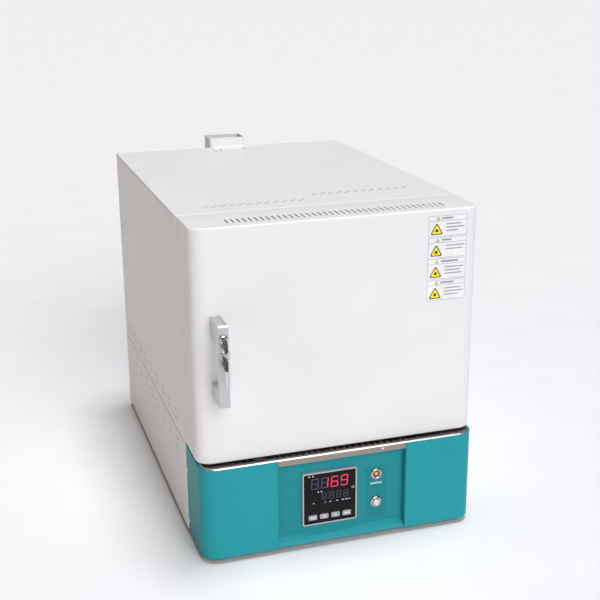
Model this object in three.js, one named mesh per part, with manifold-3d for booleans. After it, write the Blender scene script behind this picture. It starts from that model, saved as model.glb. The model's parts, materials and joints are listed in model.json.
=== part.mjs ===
// Bench-top box resistance furnace with a side-hung insulated door.
// Units are millimetres and +Z is up. Inside this file x runs right, y runs back from the door's
// front face and z runs up from the floor. The exported group moves that frame so that its origin
// is the centre of the bounding box's bottom face.
import * as THREE from "three";
import { mergeVertices } from "three/addons/utils/BufferGeometryUtils.js";
import Module from "manifold-3d";

const wasm = await Module();
wasm.setup();

// ---- driving dimensions ----
const HALF_W = 241; // half of the cabinet's width
const FOOT_H = 9;
const FOOT_X = 205;
const FOOT_FRONT_Y = 25;
const FOOT_REAR_Y = 655;
const BASE_Z = FOOT_H; // underside of the cabinet
const SPLIT_Z = BASE_Z + 161; // joint between the control base and the furnace body
const TOP_Z = BASE_Z + 550;
const FRONT_Y = 99; // front face of the furnace body, behind the door
const REAR_Y = 695;
const SHEET = 1.5; // sheet metal thickness
const GAP = 0.3; // clearance between touching pieces

const DOOR_HALF_W = 240;
const DOOR_T = 95;
const DOOR_Z0 = SPLIT_Z + 2.5;
const DOOR_Z1 = TOP_Z + 0.5;
const DOOR_CORNER_R = 25;
const DOOR_EDGE_R = 3;

const BASE_FRONT_Y = -15; // front of the control base
const BASE_HALF_W = 239;
const BASE_CORNER_R = 28;
const RECESS_HALF_W = 112;
const PANEL_Y = -1; // face of the recessed control panel
const SILL_H = 14;
const DECK_LIP = 12;

const CHAMBER_HALF_W = 100;
const CHAMBER_Z0 = 286;
const CHAMBER_Z1 = 446;
const CHAMBER_BACK_Y = 432;
const INSULATION_HALF_W = 190;
const INSULATION_Z1 = 536;
const INSULATION_BACK_Y = 525;
const PLUG_LENGTH = 34;

const FLUE_X = -5;
const FLUE_W = 74;
const FLUE_D = 53;
const FLUE_Z0 = 380;
const FLUE_Z1 = TOP_Z + 19;
const FLUE_TUBE_Z = 421;
const FLUE_TUBE_R = 13;
const COUPLE_X = 55; // thermocouple

const HANDLE_X = -205;
const HANDLE_W = 16;
const HANDLE_Z0 = 289;
const HANDLE_Z1 = 422;
const HANDLE_FRONT_Y = -52;
const HANDLE_BAR_T = 14;
const HANDLE_LEG_TOP_H = 33;
const HANDLE_LEG_LOW_H = 25;

const LOCK_Z = 400;
const LOCK_R = 6.6;
const SPINDLE_R = 3.5;
const CAM_REACH = 20;
const KEY_FRONT_Y = -71;
const KEY_HOLE_Y = -63;
const KEY_HOLE_Z = 386;
const RING_R = 7.5;
const RING_WIRE_R = 0.8;

const CONTROLLER_X = -20;
const CONTROLLER_Z = BASE_Z + 76;
const CONTROLLER_SIDE = 96;
const CONTROLLER_BODY = 91;
const CONTROLLER_DEPTH = 80;
const CONTROLLER_PROUD = 5;
const KEY_PITCH = 20;
const KEY_W = 15;
const KEY_H = 9;
const LAMP_X = 64;
const ALARM_Z = BASE_Z + 103.5;
const POWER_Z = BASE_Z + 51.5;
const LAMP_R = 10.4;

const HINGE_X = HALF_W + 5;
const HINGE_Y = 97;
const HINGE_R = 4.5;
const PIN_R = 2.2;
const HINGE_FLAG_H = 30;
const HINGE_Z = { lower: 245, upper: 487 };

// ---- materials ----
const paint = (color, roughness) => new THREE.MeshStandardMaterial({ color, roughness, metalness: 0 });
const metal = (color, roughness) => new THREE.MeshStandardMaterial({ color, roughness, metalness: 1 });
const WHITE_PAINT = paint(0xeeeeee, 0.4);
const TEAL_PAINT = paint(0x2f9fa8, 0.35);
const STAINLESS = metal(0xb0a8a2, 0.3);
const ZINC = metal(0xa8acb0, 0.45);
const ALUMINIUM = metal(0xc8cacc, 0.35);
const CHROME = metal(0xdcdcde, 0.12);
const FIBRE = paint(0xf0ece2, 0.95);
const REFRACTORY = paint(0xcdbda5, 0.9);
const CERAMIC = paint(0xe8e2d4, 0.7);
const ELEMENT = metal(0x6a625c, 0.6);
const RUBBER = paint(0x1b1b1c, 0.85);
const BLACK_PLASTIC = paint(0x17171a, 0.4);
const GREY_PLASTIC = paint(0x9a9ca0, 0.5);
const SILVER_PLASTIC = paint(0xc9c4c8, 0.4);
const RED_LENS = paint(0x8c2a24, 0.2);
const GREEN_LENS = paint(0x9ed8b8, 0.2);

// ---- geometry helpers ----
function solid(geometry) {
  const bare = geometry.index ? geometry.toNonIndexed() : geometry.clone();
  bare.deleteAttribute("normal");
  bare.deleteAttribute("uv");
  const merged = mergeVertices(bare, 1e-4);
  const mesh = new wasm.Mesh({
    numProp: 3,
    vertProperties: new Float32Array(merged.attributes.position.array),
    triVerts: new Uint32Array(merged.index.array),
  });
  return new wasm.Manifold(mesh);
}

function geometryOf(manifold) {
  const mesh = manifold.getMesh();
  const geometry = new THREE.BufferGeometry();
  geometry.setAttribute("position", new THREE.BufferAttribute(mesh.vertProperties, 3));
  geometry.setIndex(new THREE.BufferAttribute(mesh.triVerts, 1));
  geometry.computeVertexNormals();
  return geometry;
}

const joined = (...pieces) => pieces.reduce((all, piece) => all.add(piece));
const cut = (body, ...pieces) => pieces.reduce((rest, piece) => rest.subtract(piece), body);

// A box from its low and high limits along x, y and z.
function box([x0, x1], [y0, y1], [z0, z1]) {
  const geometry = new THREE.BoxGeometry(x1 - x0, y1 - y0, z1 - z0);
  return solid(geometry.translate((x0 + x1) / 2, (y0 + y1) / 2, (z0 + z1) / 2));
}

// A plan outline drawn in x and y, raised from z0 to z1.
function upright(shape, z0, z1, curveSegments = 8) {
  const options = { depth: z1 - z0, bevelEnabled: false, curveSegments };
  return solid(new THREE.ExtrudeGeometry(shape, options).translate(0, 0, z0));
}

// An outline drawn in y and z, carried from x0 to x1.
function alongX(points, x0, x1) {
  const shape = new THREE.Shape(points.map(([y, z]) => new THREE.Vector2(y, z)));
  const geometry = new THREE.ExtrudeGeometry(shape, { depth: x1 - x0, bevelEnabled: false });
  const turn = new THREE.Matrix4().set(0, 0, 1, x0, 1, 0, 0, 0, 0, 1, 0, 0, 0, 0, 0, 1);
  return solid(geometry.applyMatrix4(turn));
}

// A round bar along y, centred on x and z.
function rod(x, z, radius, y0, y1, sides = 16) {
  const geometry = new THREE.CylinderGeometry(radius, radius, y1 - y0, sides);
  return solid(geometry.translate(0, (y0 + y1) / 2, 0).translate(x, 0, z));
}

// A round bar along z, centred on x and y.
function post(x, y, radius, z0, z1, sides = 16) {
  const geometry = new THREE.CylinderGeometry(radius, radius, z1 - z0, sides);
  return solid(geometry.rotateX(Math.PI / 2).translate(x, y, (z0 + z1) / 2));
}

const group = new THREE.Group();

function add(name, body, material) {
  const mesh = new THREE.Mesh(geometryOf(body), material);
  mesh.name = name;
  group.add(mesh);
}

// ---- sheet metal outlines ----
// Plan of the control base's rim: rounded at the two front corners, open at the back.
function basePlan(inset, backY) {
  const half = BASE_HALF_W - inset;
  const front = BASE_FRONT_Y + inset;
  const radius = BASE_CORNER_R - inset;
  const shape = new THREE.Shape();
  shape.moveTo(-half, backY);
  shape.lineTo(-half, front + radius);
  shape.absarc(-half + radius, front + radius, radius, Math.PI, 1.5 * Math.PI, false);
  shape.lineTo(half - radius, front);
  shape.absarc(half - radius, front + radius, radius, 1.5 * Math.PI, 2 * Math.PI, false);
  shape.lineTo(half, backY);
  return shape;
}

// Plan of the door: rounded at the two front corners.
function doorPlan(inset) {
  const half = DOOR_HALF_W - inset;
  const radius = DOOR_CORNER_R - inset;
  const shape = new THREE.Shape();
  shape.moveTo(-half, DOOR_T + 20);
  shape.lineTo(-half, inset + radius);
  shape.absarc(-half + radius, inset + radius, radius, Math.PI, 1.5 * Math.PI, false);
  shape.lineTo(half - radius, inset);
  shape.absarc(half - radius, inset + radius, radius, 1.5 * Math.PI, 2 * Math.PI, false);
  shape.lineTo(half, DOOR_T + 20);
  return shape;
}

// ---- cabinet ----
function addFeet() {
  const spots = {
    front_left: [-FOOT_X, FOOT_FRONT_Y],
    front_right: [FOOT_X, FOOT_FRONT_Y],
    rear_left: [-FOOT_X, FOOT_REAR_Y],
    rear_right: [FOOT_X, FOOT_REAR_Y],
  };
  for (const [corner, [x, y]] of Object.entries(spots)) {
    const top = FOOT_H - GAP;
    const profile = [[0, 0], [13, 0], [15, top], [0, top]].map(([r, h]) => new THREE.Vector2(r, h));
    const lathe = new THREE.LatheGeometry(profile, 16);
    add(`foot_${corner}`, solid(lathe.rotateX(Math.PI / 2).translate(x, y, 0)), RUBBER);
  }
}

function addBasePan() {
  const half = BASE_HALF_W - 3;
  add("base_pan", box([-half, half], [PANEL_Y + 7, REAR_Y - 2], [BASE_Z, BASE_Z + SHEET]), ZINC);
}

// Two rows of short horizontal vents along one side panel.
const VENT_COUNT = 9;
const VENT_FIRST_Y = 150;
const VENT_PITCH = 58.5;
const VENT_L = 28;
const VENT_H = 3;
function sideVents(x0, x1, rows) {
  const vents = [];
  for (const z of rows) {
    for (let i = 0; i < VENT_COUNT; i += 1) {
      const y = VENT_FIRST_Y + i * VENT_PITCH;
      vents.push(box([x0 - 1, x1 + 1], [y, y + VENT_L], [z - VENT_H / 2, z + VENT_H / 2]));
    }
  }
  return joined(...vents);
}

const UPPER_VENT_ROWS = [SPLIT_Z + 20, SPLIT_Z + 35];
const LOWER_VENT_ROWS = [SPLIT_Z - 17, SPLIT_Z - 32];
function addSidePanels() {
  const sides = { left: [-HALF_W, -HALF_W + SHEET], right: [HALF_W - SHEET, HALF_W] };
  for (const [side, span] of Object.entries(sides)) {
    const lower = box(span, [FRONT_Y, REAR_Y], [BASE_Z, SPLIT_Z - GAP]);
    const upper = box(span, [FRONT_Y, REAR_Y], [SPLIT_Z, TOP_Z - SHEET - GAP]);
    add(`side_panel_lower_${side}`, cut(lower, sideVents(...span, LOWER_VENT_ROWS)), WHITE_PAINT);
    add(`side_panel_upper_${side}`, cut(upper, sideVents(...span, UPPER_VENT_ROWS)), WHITE_PAINT);
  }
}

// Two groups of slanted slots; the right group sits further back.
const COVER_SLOT_COUNT = 12;
const COVER_SLOT_PITCH = 14.9;
const COVER_SLOT_L = 21;
const COVER_SLOT_W = 2.5;
const COVER_SLOT_GROUPS = [{ x: -182, y: 143 }, { x: 16, y: 179 }];
function coverSlots() {
  const slots = [];
  for (const start of COVER_SLOT_GROUPS) {
    for (let i = 0; i < COVER_SLOT_COUNT; i += 1) {
      const geometry = new THREE.BoxGeometry(COVER_SLOT_L, COVER_SLOT_W, 4 * SHEET);
      geometry.rotateZ(Math.PI / 4).translate(start.x + i * COVER_SLOT_PITCH, start.y, TOP_Z);
      slots.push(solid(geometry));
    }
  }
  return joined(...slots);
}

function addTopCover() {
  const cover = box([-HALF_W, HALF_W], [FRONT_Y, REAR_Y], [TOP_Z - SHEET, TOP_Z]);
  add("top_cover", cut(cover, coverSlots()), WHITE_PAINT);
}

const INNER_HALF_W = HALF_W - SHEET - GAP;
function addFrontFrame() {
  const reach = 3; // the mouth is this much wider than the chamber on each side
  const plate = box(
    [-INNER_HALF_W, INNER_HALF_W],
    [FRONT_Y, FRONT_Y + SHEET],
    [SPLIT_Z + 1, TOP_Z - SHEET - GAP],
  );
  const mouth = box(
    [-CHAMBER_HALF_W - reach, CHAMBER_HALF_W + reach],
    [FRONT_Y - 1, FRONT_Y + SHEET + 1],
    [CHAMBER_Z0 - reach, CHAMBER_Z1 + reach],
  );
  const camSlot = box(
    [HANDLE_X - 7, HANDLE_X + 7],
    [FRONT_Y - 1, FRONT_Y + SHEET + 1],
    [LOCK_Z - CAM_REACH - 4, LOCK_Z + 9],
  );
  add("front_frame", cut(plate, mouth, camSlot), WHITE_PAINT);
}

function addLockKeeper() {
  const y0 = FRONT_Y + SHEET + GAP;
  const keeper = box([HANDLE_X - 27, HANDLE_X - 8], [y0, y0 + 1.2], [LOCK_Z - 12, LOCK_Z + 12]);
  add("lock_keeper", keeper, ZINC);
}

const GLAND_X = 150;
const GLAND_Z = 60;
const GLAND_R = 10;
function addRearPanel() {
  const panel = box(
    [-INNER_HALF_W, INNER_HALF_W],
    [REAR_Y - SHEET, REAR_Y],
    [BASE_Z + GAP, TOP_Z - SHEET - GAP],
  );
  const through = [REAR_Y - 5, REAR_Y + 5];
  const flueHole = rod(FLUE_X, FLUE_TUBE_Z, FLUE_TUBE_R + 1, ...through);
  const glandHole = rod(GLAND_X, GLAND_Z, GLAND_R - 2, ...through, 12);
  const vents = [];
  for (const x of [-150, -100, -50, 0, 50]) {
    for (const z of [70, 85, 100]) {
      vents.push(box([x - 18, x + 18], through, [z - 1.5, z + 1.5]));
    }
  }
  add("rear_panel", cut(panel, flueHole, glandHole, joined(...vents)), WHITE_PAINT);
}

function addPartition() {
  const wide = [-INNER_HALF_W, INNER_HALF_W];
  add("partition_plate", box(wide, [FRONT_Y + 2, REAR_Y - 2], [SPLIT_Z - SHEET, SPLIT_Z]), ZINC);
}

// ---- control base ----
// A wing is one bent sheet: inner return, front, rounded corner and side return.
function wingPlan() {
  const half = BASE_HALF_W;
  const front = BASE_FRONT_Y;
  const radius = BASE_CORNER_R;
  const backY = FRONT_Y - GAP;
  const returnY = PANEL_Y + 5;
  const shape = new THREE.Shape();
  shape.moveTo(RECESS_HALF_W, returnY);
  shape.lineTo(RECESS_HALF_W, front);
  shape.lineTo(half - radius, front);
  shape.absarc(half - radius, front + radius, radius, 1.5 * Math.PI, 2 * Math.PI, false);
  shape.lineTo(half, backY);
  shape.lineTo(half - SHEET, backY);
  shape.lineTo(half - SHEET, front + radius);
  shape.absarc(half - radius, front + radius, radius - SHEET, 2 * Math.PI, 1.5 * Math.PI, true);
  shape.lineTo(RECESS_HALF_W + SHEET, front + SHEET);
  shape.lineTo(RECESS_HALF_W + SHEET, returnY);
  return shape;
}

// The narrow rim folded inwards along the wing's top edge.
function wingRim(z0, z1) {
  const fold = 14;
  const outer = upright(basePlan(0.4, FRONT_Y - GAP), z0, z1);
  const inner = upright(basePlan(fold, FRONT_Y + 10), z0 - 1, z1 + 1);
  const keep = box([RECESS_HALF_W, HALF_W], [BASE_FRONT_Y - 1, FRONT_Y], [z0, z1]);
  return cut(outer, inner).intersect(keep);
}

function addWings() {
  const top = SPLIT_Z - SHEET - GAP;
  const wing = joined(upright(wingPlan(), BASE_Z, top), wingRim(top - SHEET, top));
  add("fascia_wing_right", wing, TEAL_PAINT);
  add("fascia_wing_left", wing.mirror([1, 0, 0]), TEAL_PAINT);
}

// The stainless shelf under the door, with its folded front lip.
const DECK_SLOT_COUNT = 33;
const DECK_SLOT_PITCH = 11;
const DECK_SLOT_W = 3.5;
const DECK_SLOT_Y = [-7, 20];
const PAD_X = -140;
const PAD_Y = 3;
const PAD_R = 9;
function deckSlots() {
  const slots = [];
  const firstX = (-(DECK_SLOT_COUNT - 1) * DECK_SLOT_PITCH) / 2;
  const height = [SPLIT_Z - 5, SPLIT_Z + 5];
  for (let i = 0; i < DECK_SLOT_COUNT; i += 1) {
    const x = firstX + i * DECK_SLOT_PITCH;
    const underPad = Math.abs(x - PAD_X) < PAD_R + DECK_SLOT_W;
    if (!underPad) {
      slots.push(box([x - DECK_SLOT_W / 2, x + DECK_SLOT_W / 2], DECK_SLOT_Y, height));
    }
  }
  return joined(...slots);
}

function addDeck() {
  const half = BASE_HALF_W - 4;
  const radius = 24;
  const front = BASE_FRONT_Y + 0.4;
  const plan = new THREE.Shape();
  plan.moveTo(-half, FRONT_Y - GAP);
  plan.lineTo(-half, front + radius);
  plan.absarc(-half + radius, front + radius, radius, Math.PI, 1.5 * Math.PI, false);
  plan.lineTo(half - radius, front);
  plan.absarc(half - radius, front + radius, radius, 1.5 * Math.PI, 2 * Math.PI, false);
  plan.lineTo(half, FRONT_Y - GAP);
  const plate = upright(plan, SPLIT_Z - SHEET, SPLIT_Z, 6);
  const lipHalf = RECESS_HALF_W - GAP;
  const lip = box([-lipHalf, lipHalf], [front, front + SHEET], [SPLIT_Z - DECK_LIP, SPLIT_Z]);
  add("deck_plate", cut(joined(plate, lip), deckSlots()), STAINLESS);
}

function addRestPad() {
  add("door_rest_pad", post(PAD_X, PAD_Y, PAD_R, SPLIT_Z + GAP, SPLIT_Z + 1.8), RUBBER);
}

function addControlPanel() {
  const top = SPLIT_Z - DECK_LIP - 1;
  const back = PANEL_Y + SHEET;
  const low = BASE_Z + SHEET + GAP;
  const outline = [
    [PANEL_Y, top],
    [PANEL_Y, BASE_Z + SILL_H],
    [BASE_FRONT_Y + 0.3, low],
    [BASE_FRONT_Y + 2.4, low],
    [back, BASE_Z + SILL_H - 0.5],
    [back, top],
  ];
  const half = RECESS_HALF_W - GAP;
  const sheet = alongX(outline, -half, half);
  const open = CONTROLLER_BODY / 2 + 0.5;
  const window = box(
    [CONTROLLER_X - open, CONTROLLER_X + open],
    [PANEL_Y - 1, back + 1],
    [CONTROLLER_Z - open, CONTROLLER_Z + open],
  );
  const alarmHole = rod(LAMP_X, ALARM_Z, 7, PANEL_Y - 1, back + 1);
  const powerHole = rod(LAMP_X, POWER_Z, 7, PANEL_Y - 1, back + 1);
  add("control_panel", cut(sheet, window, alarmHole, powerHole), TEAL_PAINT);
}

// ---- controller ----
const FACE_Y = PANEL_Y - CONTROLLER_PROUD;
const RIM_W = 2.5;
const KEY_Z = CONTROLLER_Z - 34;
const KEY_NAMES = ["set", "down", "up", "enter"];
const keyX = (i) => CONTROLLER_X + (i - 1.5) * KEY_PITCH;

// A square block centred on the controller.
function controllerBlock(reach, y0, y1) {
  const wide = [CONTROLLER_X - reach, CONTROLLER_X + reach];
  return box(wide, [y0, y1], [CONTROLLER_Z - reach, CONTROLLER_Z + reach]);
}

function addController() {
  const half = CONTROLLER_SIDE / 2;
  const faceHalf = half - RIM_W;
  const rim = controllerBlock(half, FACE_Y, PANEL_Y - GAP);
  const body = controllerBlock(CONTROLLER_BODY / 2, PANEL_Y - 1, PANEL_Y + CONTROLLER_DEPTH);
  const seat = controllerBlock(faceHalf + GAP, FACE_Y - 1, FACE_Y + 3);
  add("controller_case", cut(joined(rim, body), seat), SILVER_PLASTIC);
  const pockets = KEY_NAMES.map((name, i) => keyBox(i, GAP + 0.1, FACE_Y - 1, FACE_Y + 2.6));
  const face = controllerBlock(faceHalf, FACE_Y + 0.6, FACE_Y + 2.7);
  add("controller_face", cut(face, ...pockets), BLACK_PLASTIC);
}

function keyBox(i, grow, y0, y1) {
  const x = keyX(i);
  const halfW = KEY_W / 2 + grow;
  const halfH = KEY_H / 2 + grow;
  return box([x - halfW, x + halfW], [y0, y1], [KEY_Z - halfH, KEY_Z + halfH]);
}

function addControllerKeys() {
  KEY_NAMES.forEach((name, i) => {
    add(`controller_key_${name}`, keyBox(i, 0, FACE_Y - 0.4, FACE_Y + 1.8), GREY_PLASTIC);
  });
}

// A panel-mounted body: a round head in front of the panel and a barrel through it.
function panelBezel(z, boreR) {
  const head = rod(LAMP_X, z, LAMP_R, PANEL_Y - 3, PANEL_Y - GAP, 24);
  const barrel = rod(LAMP_X, z, 6.6, PANEL_Y - 1, PANEL_Y + 22);
  const bore = rod(LAMP_X, z, boreR, PANEL_Y - 4, PANEL_Y + 8);
  return cut(joined(head, barrel), bore);
}

function addAlarm() {
  add("alarm_bezel", panelBezel(ALARM_Z, 5), CHROME);
  add("alarm_lens", rod(LAMP_X, ALARM_Z, 4.7, PANEL_Y - 2.2, PANEL_Y + 6), RED_LENS);
}

function addPowerButton() {
  add("power_button_bezel", panelBezel(POWER_Z, 6), CHROME);
  add("power_button_cap", rod(LAMP_X, POWER_Z, 5.7, PANEL_Y - 4.2, PANEL_Y + 4.5), GREEN_LENS);
}

// ---- furnace chamber ----
function addInsulation() {
  const front = FRONT_Y + SHEET + 2.2;
  const wide = [-INSULATION_HALF_W, INSULATION_HALF_W];
  const side = [CHAMBER_Z0 + GAP, CHAMBER_Z1 - GAP];
  const depth = [front, CHAMBER_BACK_Y - GAP];
  const whole = [front, INSULATION_BACK_Y];
  add("insulation_floor", box(wide, whole, [SPLIT_Z + GAP, CHAMBER_Z0]), FIBRE);
  add("insulation_roof", box(wide, whole, [CHAMBER_Z1, INSULATION_Z1]), FIBRE);
  add("insulation_left", box([-INSULATION_HALF_W, -CHAMBER_HALF_W], depth, side), FIBRE);
  add("insulation_right", box([CHAMBER_HALF_W, INSULATION_HALF_W], depth, side), FIBRE);
  const rear = box(wide, [CHAMBER_BACK_Y, INSULATION_BACK_Y], side);
  const through = [CHAMBER_BACK_Y - 1, INSULATION_BACK_Y + 1];
  const flueHole = rod(FLUE_X, FLUE_TUBE_Z, FLUE_TUBE_R + GAP, ...through);
  const coupleHole = rod(COUPLE_X, FLUE_TUBE_Z, 5, ...through, 12);
  add("insulation_rear", cut(rear, flueHole, coupleHole), FIBRE);
}

function addHearthPlate() {
  const plate = box([-92, 92], [140, CHAMBER_BACK_Y - 4], [CHAMBER_Z0 + GAP, CHAMBER_Z0 + 12]);
  add("hearth_plate", plate, REFRACTORY);
}

// A flat serpentine of resistance wire that hangs on one side wall.
const ELEMENT_RUNS = 5;
const ELEMENT_PITCH = 26;
const ELEMENT_Y = [165, 395];
function addElement(side, sign) {
  const path = new THREE.CurvePath();
  const x = sign * (CHAMBER_HALF_W - 3.4);
  const [near, far] = ELEMENT_Y;
  const lowZ = CHAMBER_Z0 + 28;
  let last = null;
  for (let run = 0; run < ELEMENT_RUNS; run += 1) {
    const z = lowZ + run * ELEMENT_PITCH;
    const ends = run % 2 ? [near, far] : [far, near];
    const from = new THREE.Vector3(x, ends[0], z);
    const to = new THREE.Vector3(x, ends[1], z);
    if (last) {
      const bulge = new THREE.Vector3(0, (run % 2 ? -0.66 : 0.66) * ELEMENT_PITCH, 0);
      const a = last.clone().add(bulge);
      const b = from.clone().add(bulge);
      path.add(new THREE.CubicBezierCurve3(last, a, b, from));
    }
    path.add(new THREE.LineCurve3(from, to));
    last = to;
  }
  const section = new THREE.Shape();
  section.absarc(0, 0, 2.5, 0, 2 * Math.PI, false);
  const options = { steps: 56, curveSegments: 3, extrudePath: path };
  add(`heating_element_${side}`, solid(new THREE.ExtrudeGeometry(section, options)), ELEMENT);
}

function addThermocouple() {
  const sheath = rod(COUPLE_X, FLUE_TUBE_Z, 4, CHAMBER_BACK_Y - 35, INSULATION_BACK_Y + 20, 12);
  const head = rod(COUPLE_X, FLUE_TUBE_Z, 17, INSULATION_BACK_Y + 18, INSULATION_BACK_Y + 50);
  add("thermocouple", joined(sheath, head), CERAMIC);
}

// ---- flue ----
function addFlue() {
  const tubeEnd = REAR_Y + 8;
  const tube = rod(FLUE_X, FLUE_TUBE_Z, FLUE_TUBE_R, CHAMBER_BACK_Y + 1, tubeEnd);
  const way = rod(FLUE_X, FLUE_TUBE_Z, FLUE_TUBE_R - 3, CHAMBER_BACK_Y - 1, tubeEnd + 1);
  add("flue_tube", cut(tube, way), CERAMIC);
  const y0 = REAR_Y + GAP;
  const y1 = y0 + FLUE_D;
  const x0 = FLUE_X - FLUE_W / 2;
  const x1 = FLUE_X + FLUE_W / 2;
  const outer = box([x0, x1], [y0, y1], [FLUE_Z0, FLUE_Z1]);
  const inner = box(
    [x0 + SHEET, x1 - SHEET],
    [y0 + SHEET, y1 - SHEET],
    [FLUE_Z0 + SHEET, FLUE_Z1 + 1],
  );
  const inlet = rod(FLUE_X, FLUE_TUBE_Z, FLUE_TUBE_R + GAP, y0 - 1, y0 + SHEET + 1);
  const tab = box([x0, x1], [REAR_Y - 55, y0 + 0.5], [TOP_Z + GAP, TOP_Z + 1.4]);
  add("flue_duct", cut(joined(cut(outer, inner), tab), inlet), WHITE_PAINT);
}

// ---- electrics in the base ----
function addElectrics() {
  const floor = BASE_Z + SHEET + GAP;
  const sink = box([90, 190], [300, 420], [floor, floor + 6]);
  const fins = [];
  for (let x = 94; x < 190; x += 12) {
    fins.push(box([x, x + 3], [300, 420], [floor + 5, floor + 40]));
  }
  add("heat_sink", joined(sink, ...fins), ALUMINIUM);
  add("solid_state_relay", box([117, 162], [331, 389], [floor + 40 + GAP, floor + 63]), BLACK_PLASTIC);
  const strip = box([60, 200], [520, 546], [floor, floor + 12]);
  const walls = [];
  for (let x = 60; x < 196; x += 16) {
    walls.push(box([x, x + 3], [520, 546], [floor + 11, floor + 24]));
  }
  add("terminal_block", joined(strip, ...walls), BLACK_PLASTIC);
}

function addGland() {
  const nut = rod(GLAND_X, GLAND_Z, GLAND_R + 3, REAR_Y + GAP, REAR_Y + 8, 6);
  const dome = rod(GLAND_X, GLAND_Z, GLAND_R, REAR_Y + 7, REAR_Y + 22, 16);
  const stem = rod(GLAND_X, GLAND_Z, GLAND_R - 2.5, REAR_Y - 12, REAR_Y + 1, 12);
  const bore = rod(GLAND_X, GLAND_Z, 4, REAR_Y - 13, REAR_Y + 23, 12);
  add("cable_gland", cut(joined(nut, dome, stem), bore), BLACK_PLASTIC);
}

// ---- hinges ----
// Each hinge is a pair of flags: the cabinet's carries the pin, and the door's drops onto it.
function addHinges() {
  const leafX = [HALF_W + GAP, HALF_W + GAP + 2];
  for (const [place, z] of Object.entries(HINGE_Z)) {
    const low = [z - HINGE_FLAG_H, z - GAP / 2];
    const high = [z + GAP / 2, z + HINGE_FLAG_H];
    const fixedLeaf = box(leafX, [HINGE_Y + 1, HINGE_Y + 36], low);
    const fixedKnuckle = post(HINGE_X, HINGE_Y, HINGE_R, ...low);
    const pin = post(HINGE_X, HINGE_Y, PIN_R, z - 4, z + HINGE_FLAG_H - 3, 12);
    add(`hinge_cabinet_${place}`, joined(fixedLeaf, fixedKnuckle, pin), ZINC);
    const doorLeaf = box([DOOR_HALF_W + GAP, leafX[1] - 1], [HINGE_Y - 36, HINGE_Y - 1], high);
    const doorKnuckle = post(HINGE_X, HINGE_Y, HINGE_R, ...high);
    const bore = post(HINGE_X, HINGE_Y, PIN_R + 0.4, z - 1, z + HINGE_FLAG_H - 2, 12);
    const bridge = box([DOOR_HALF_W + 1, HINGE_X - 2], [HINGE_Y - 3.2, HINGE_Y - 1], high);
    add(`hinge_door_${place}`, cut(joined(doorLeaf, doorKnuckle, bridge), bore), ZINC);
  }
}

// ---- door ----
const DOOR_SLOT_COUNT = 39;
const DOOR_SLOT_PITCH = 9.45;
const DOOR_SLOT_W = 2.6;
const DOOR_SLOT_Y = [22, 50];
const DOOR_SLOT_X = 5; // centre of the row
function doorSlots() {
  const slots = [];
  const height = [DOOR_Z1 - 4, DOOR_Z1 + 1];
  for (let i = 0; i < DOOR_SLOT_COUNT; i += 1) {
    const x = DOOR_SLOT_X + (i - (DOOR_SLOT_COUNT - 1) / 2) * DOOR_SLOT_PITCH;
    slots.push(box([x - DOOR_SLOT_W / 2, x + DOOR_SLOT_W / 2], DOOR_SLOT_Y, height));
  }
  return joined(...slots);
}

function addDoorShell() {
  const edge = DOOR_EDGE_R;
  const options = {
    depth: DOOR_Z1 - DOOR_Z0 - 2 * edge,
    curveSegments: 6,
    bevelEnabled: true,
    bevelThickness: edge,
    bevelSize: edge,
    bevelOffset: -edge,
    bevelSegments: 4,
  };
  const beyond = 300; // past the door on every side
  const rounded = new THREE.ExtrudeGeometry(doorPlan(0), options).translate(0, 0, DOOR_Z0 + edge);
  const outside = solid(rounded).intersect(box([-beyond, beyond], [-10, DOOR_T], [0, TOP_Z + 10]));
  const inside = upright(doorPlan(SHEET), DOOR_Z0 + SHEET, DOOR_Z1 - SHEET, 6);
  const relief = box([-beyond, beyond], [edge, beyond], [DOOR_Z0 + SHEET, DOOR_Z1 - SHEET]);
  const frontPart = upright(doorPlan(SHEET), DOOR_Z0 + edge, DOOR_Z1 - edge, 6);
  const hollow = joined(inside.intersect(relief), frontPart);
  const spindleHole = rod(HANDLE_X, LOCK_Z, SPINDLE_R + 1, -5, 5, 12);
  add("door_shell", cut(outside, hollow, spindleHole, doorSlots()), WHITE_PAINT);
}

function addDoorInside() {
  const z0 = DOOR_Z0 + SHEET + GAP;
  const z1 = DOOR_Z1 - SHEET - GAP;
  const half = DOOR_HALF_W - SHEET - GAP;
  const plate = box([-half, half], [DOOR_T - SHEET, DOOR_T], [z0, z1]);
  const spindleHole = rod(HANDLE_X, LOCK_Z, SPINDLE_R + 1, DOOR_T - 5, DOOR_T + 5, 12);
  add("door_inner_plate", cut(plate, spindleHole), ZINC);
  add("door_insulation", box([-190, 190], [58, DOOR_T - SHEET - GAP], [z0 + 1, z1 - 1]), FIBRE);
}

function addDoorPlug() {
  const clear = 4;
  const taper = 4;
  const halfW = CHAMBER_HALF_W - clear;
  const halfH = (CHAMBER_Z1 - CHAMBER_Z0) / 2 - clear;
  const midZ = (CHAMBER_Z0 + CHAMBER_Z1) / 2;
  const y0 = DOOR_T + GAP;
  const plan = new THREE.Shape();
  plan.moveTo(-halfW, y0);
  plan.lineTo(halfW, y0);
  plan.lineTo(halfW - taper, y0 + PLUG_LENGTH);
  plan.lineTo(-halfW + taper, y0 + PLUG_LENGTH);
  const profile = [
    [y0 - 1, midZ - halfH],
    [y0 - 1, midZ + halfH],
    [y0 + PLUG_LENGTH + 1, midZ + halfH - taper],
    [y0 + PLUG_LENGTH + 1, midZ - halfH + taper],
  ];
  const tapered = upright(plan, midZ - halfH - 1, midZ + halfH + 1);
  add("door_plug", tapered.intersect(alongX(profile, -halfW - 1, halfW + 1)), FIBRE);
}

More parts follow.
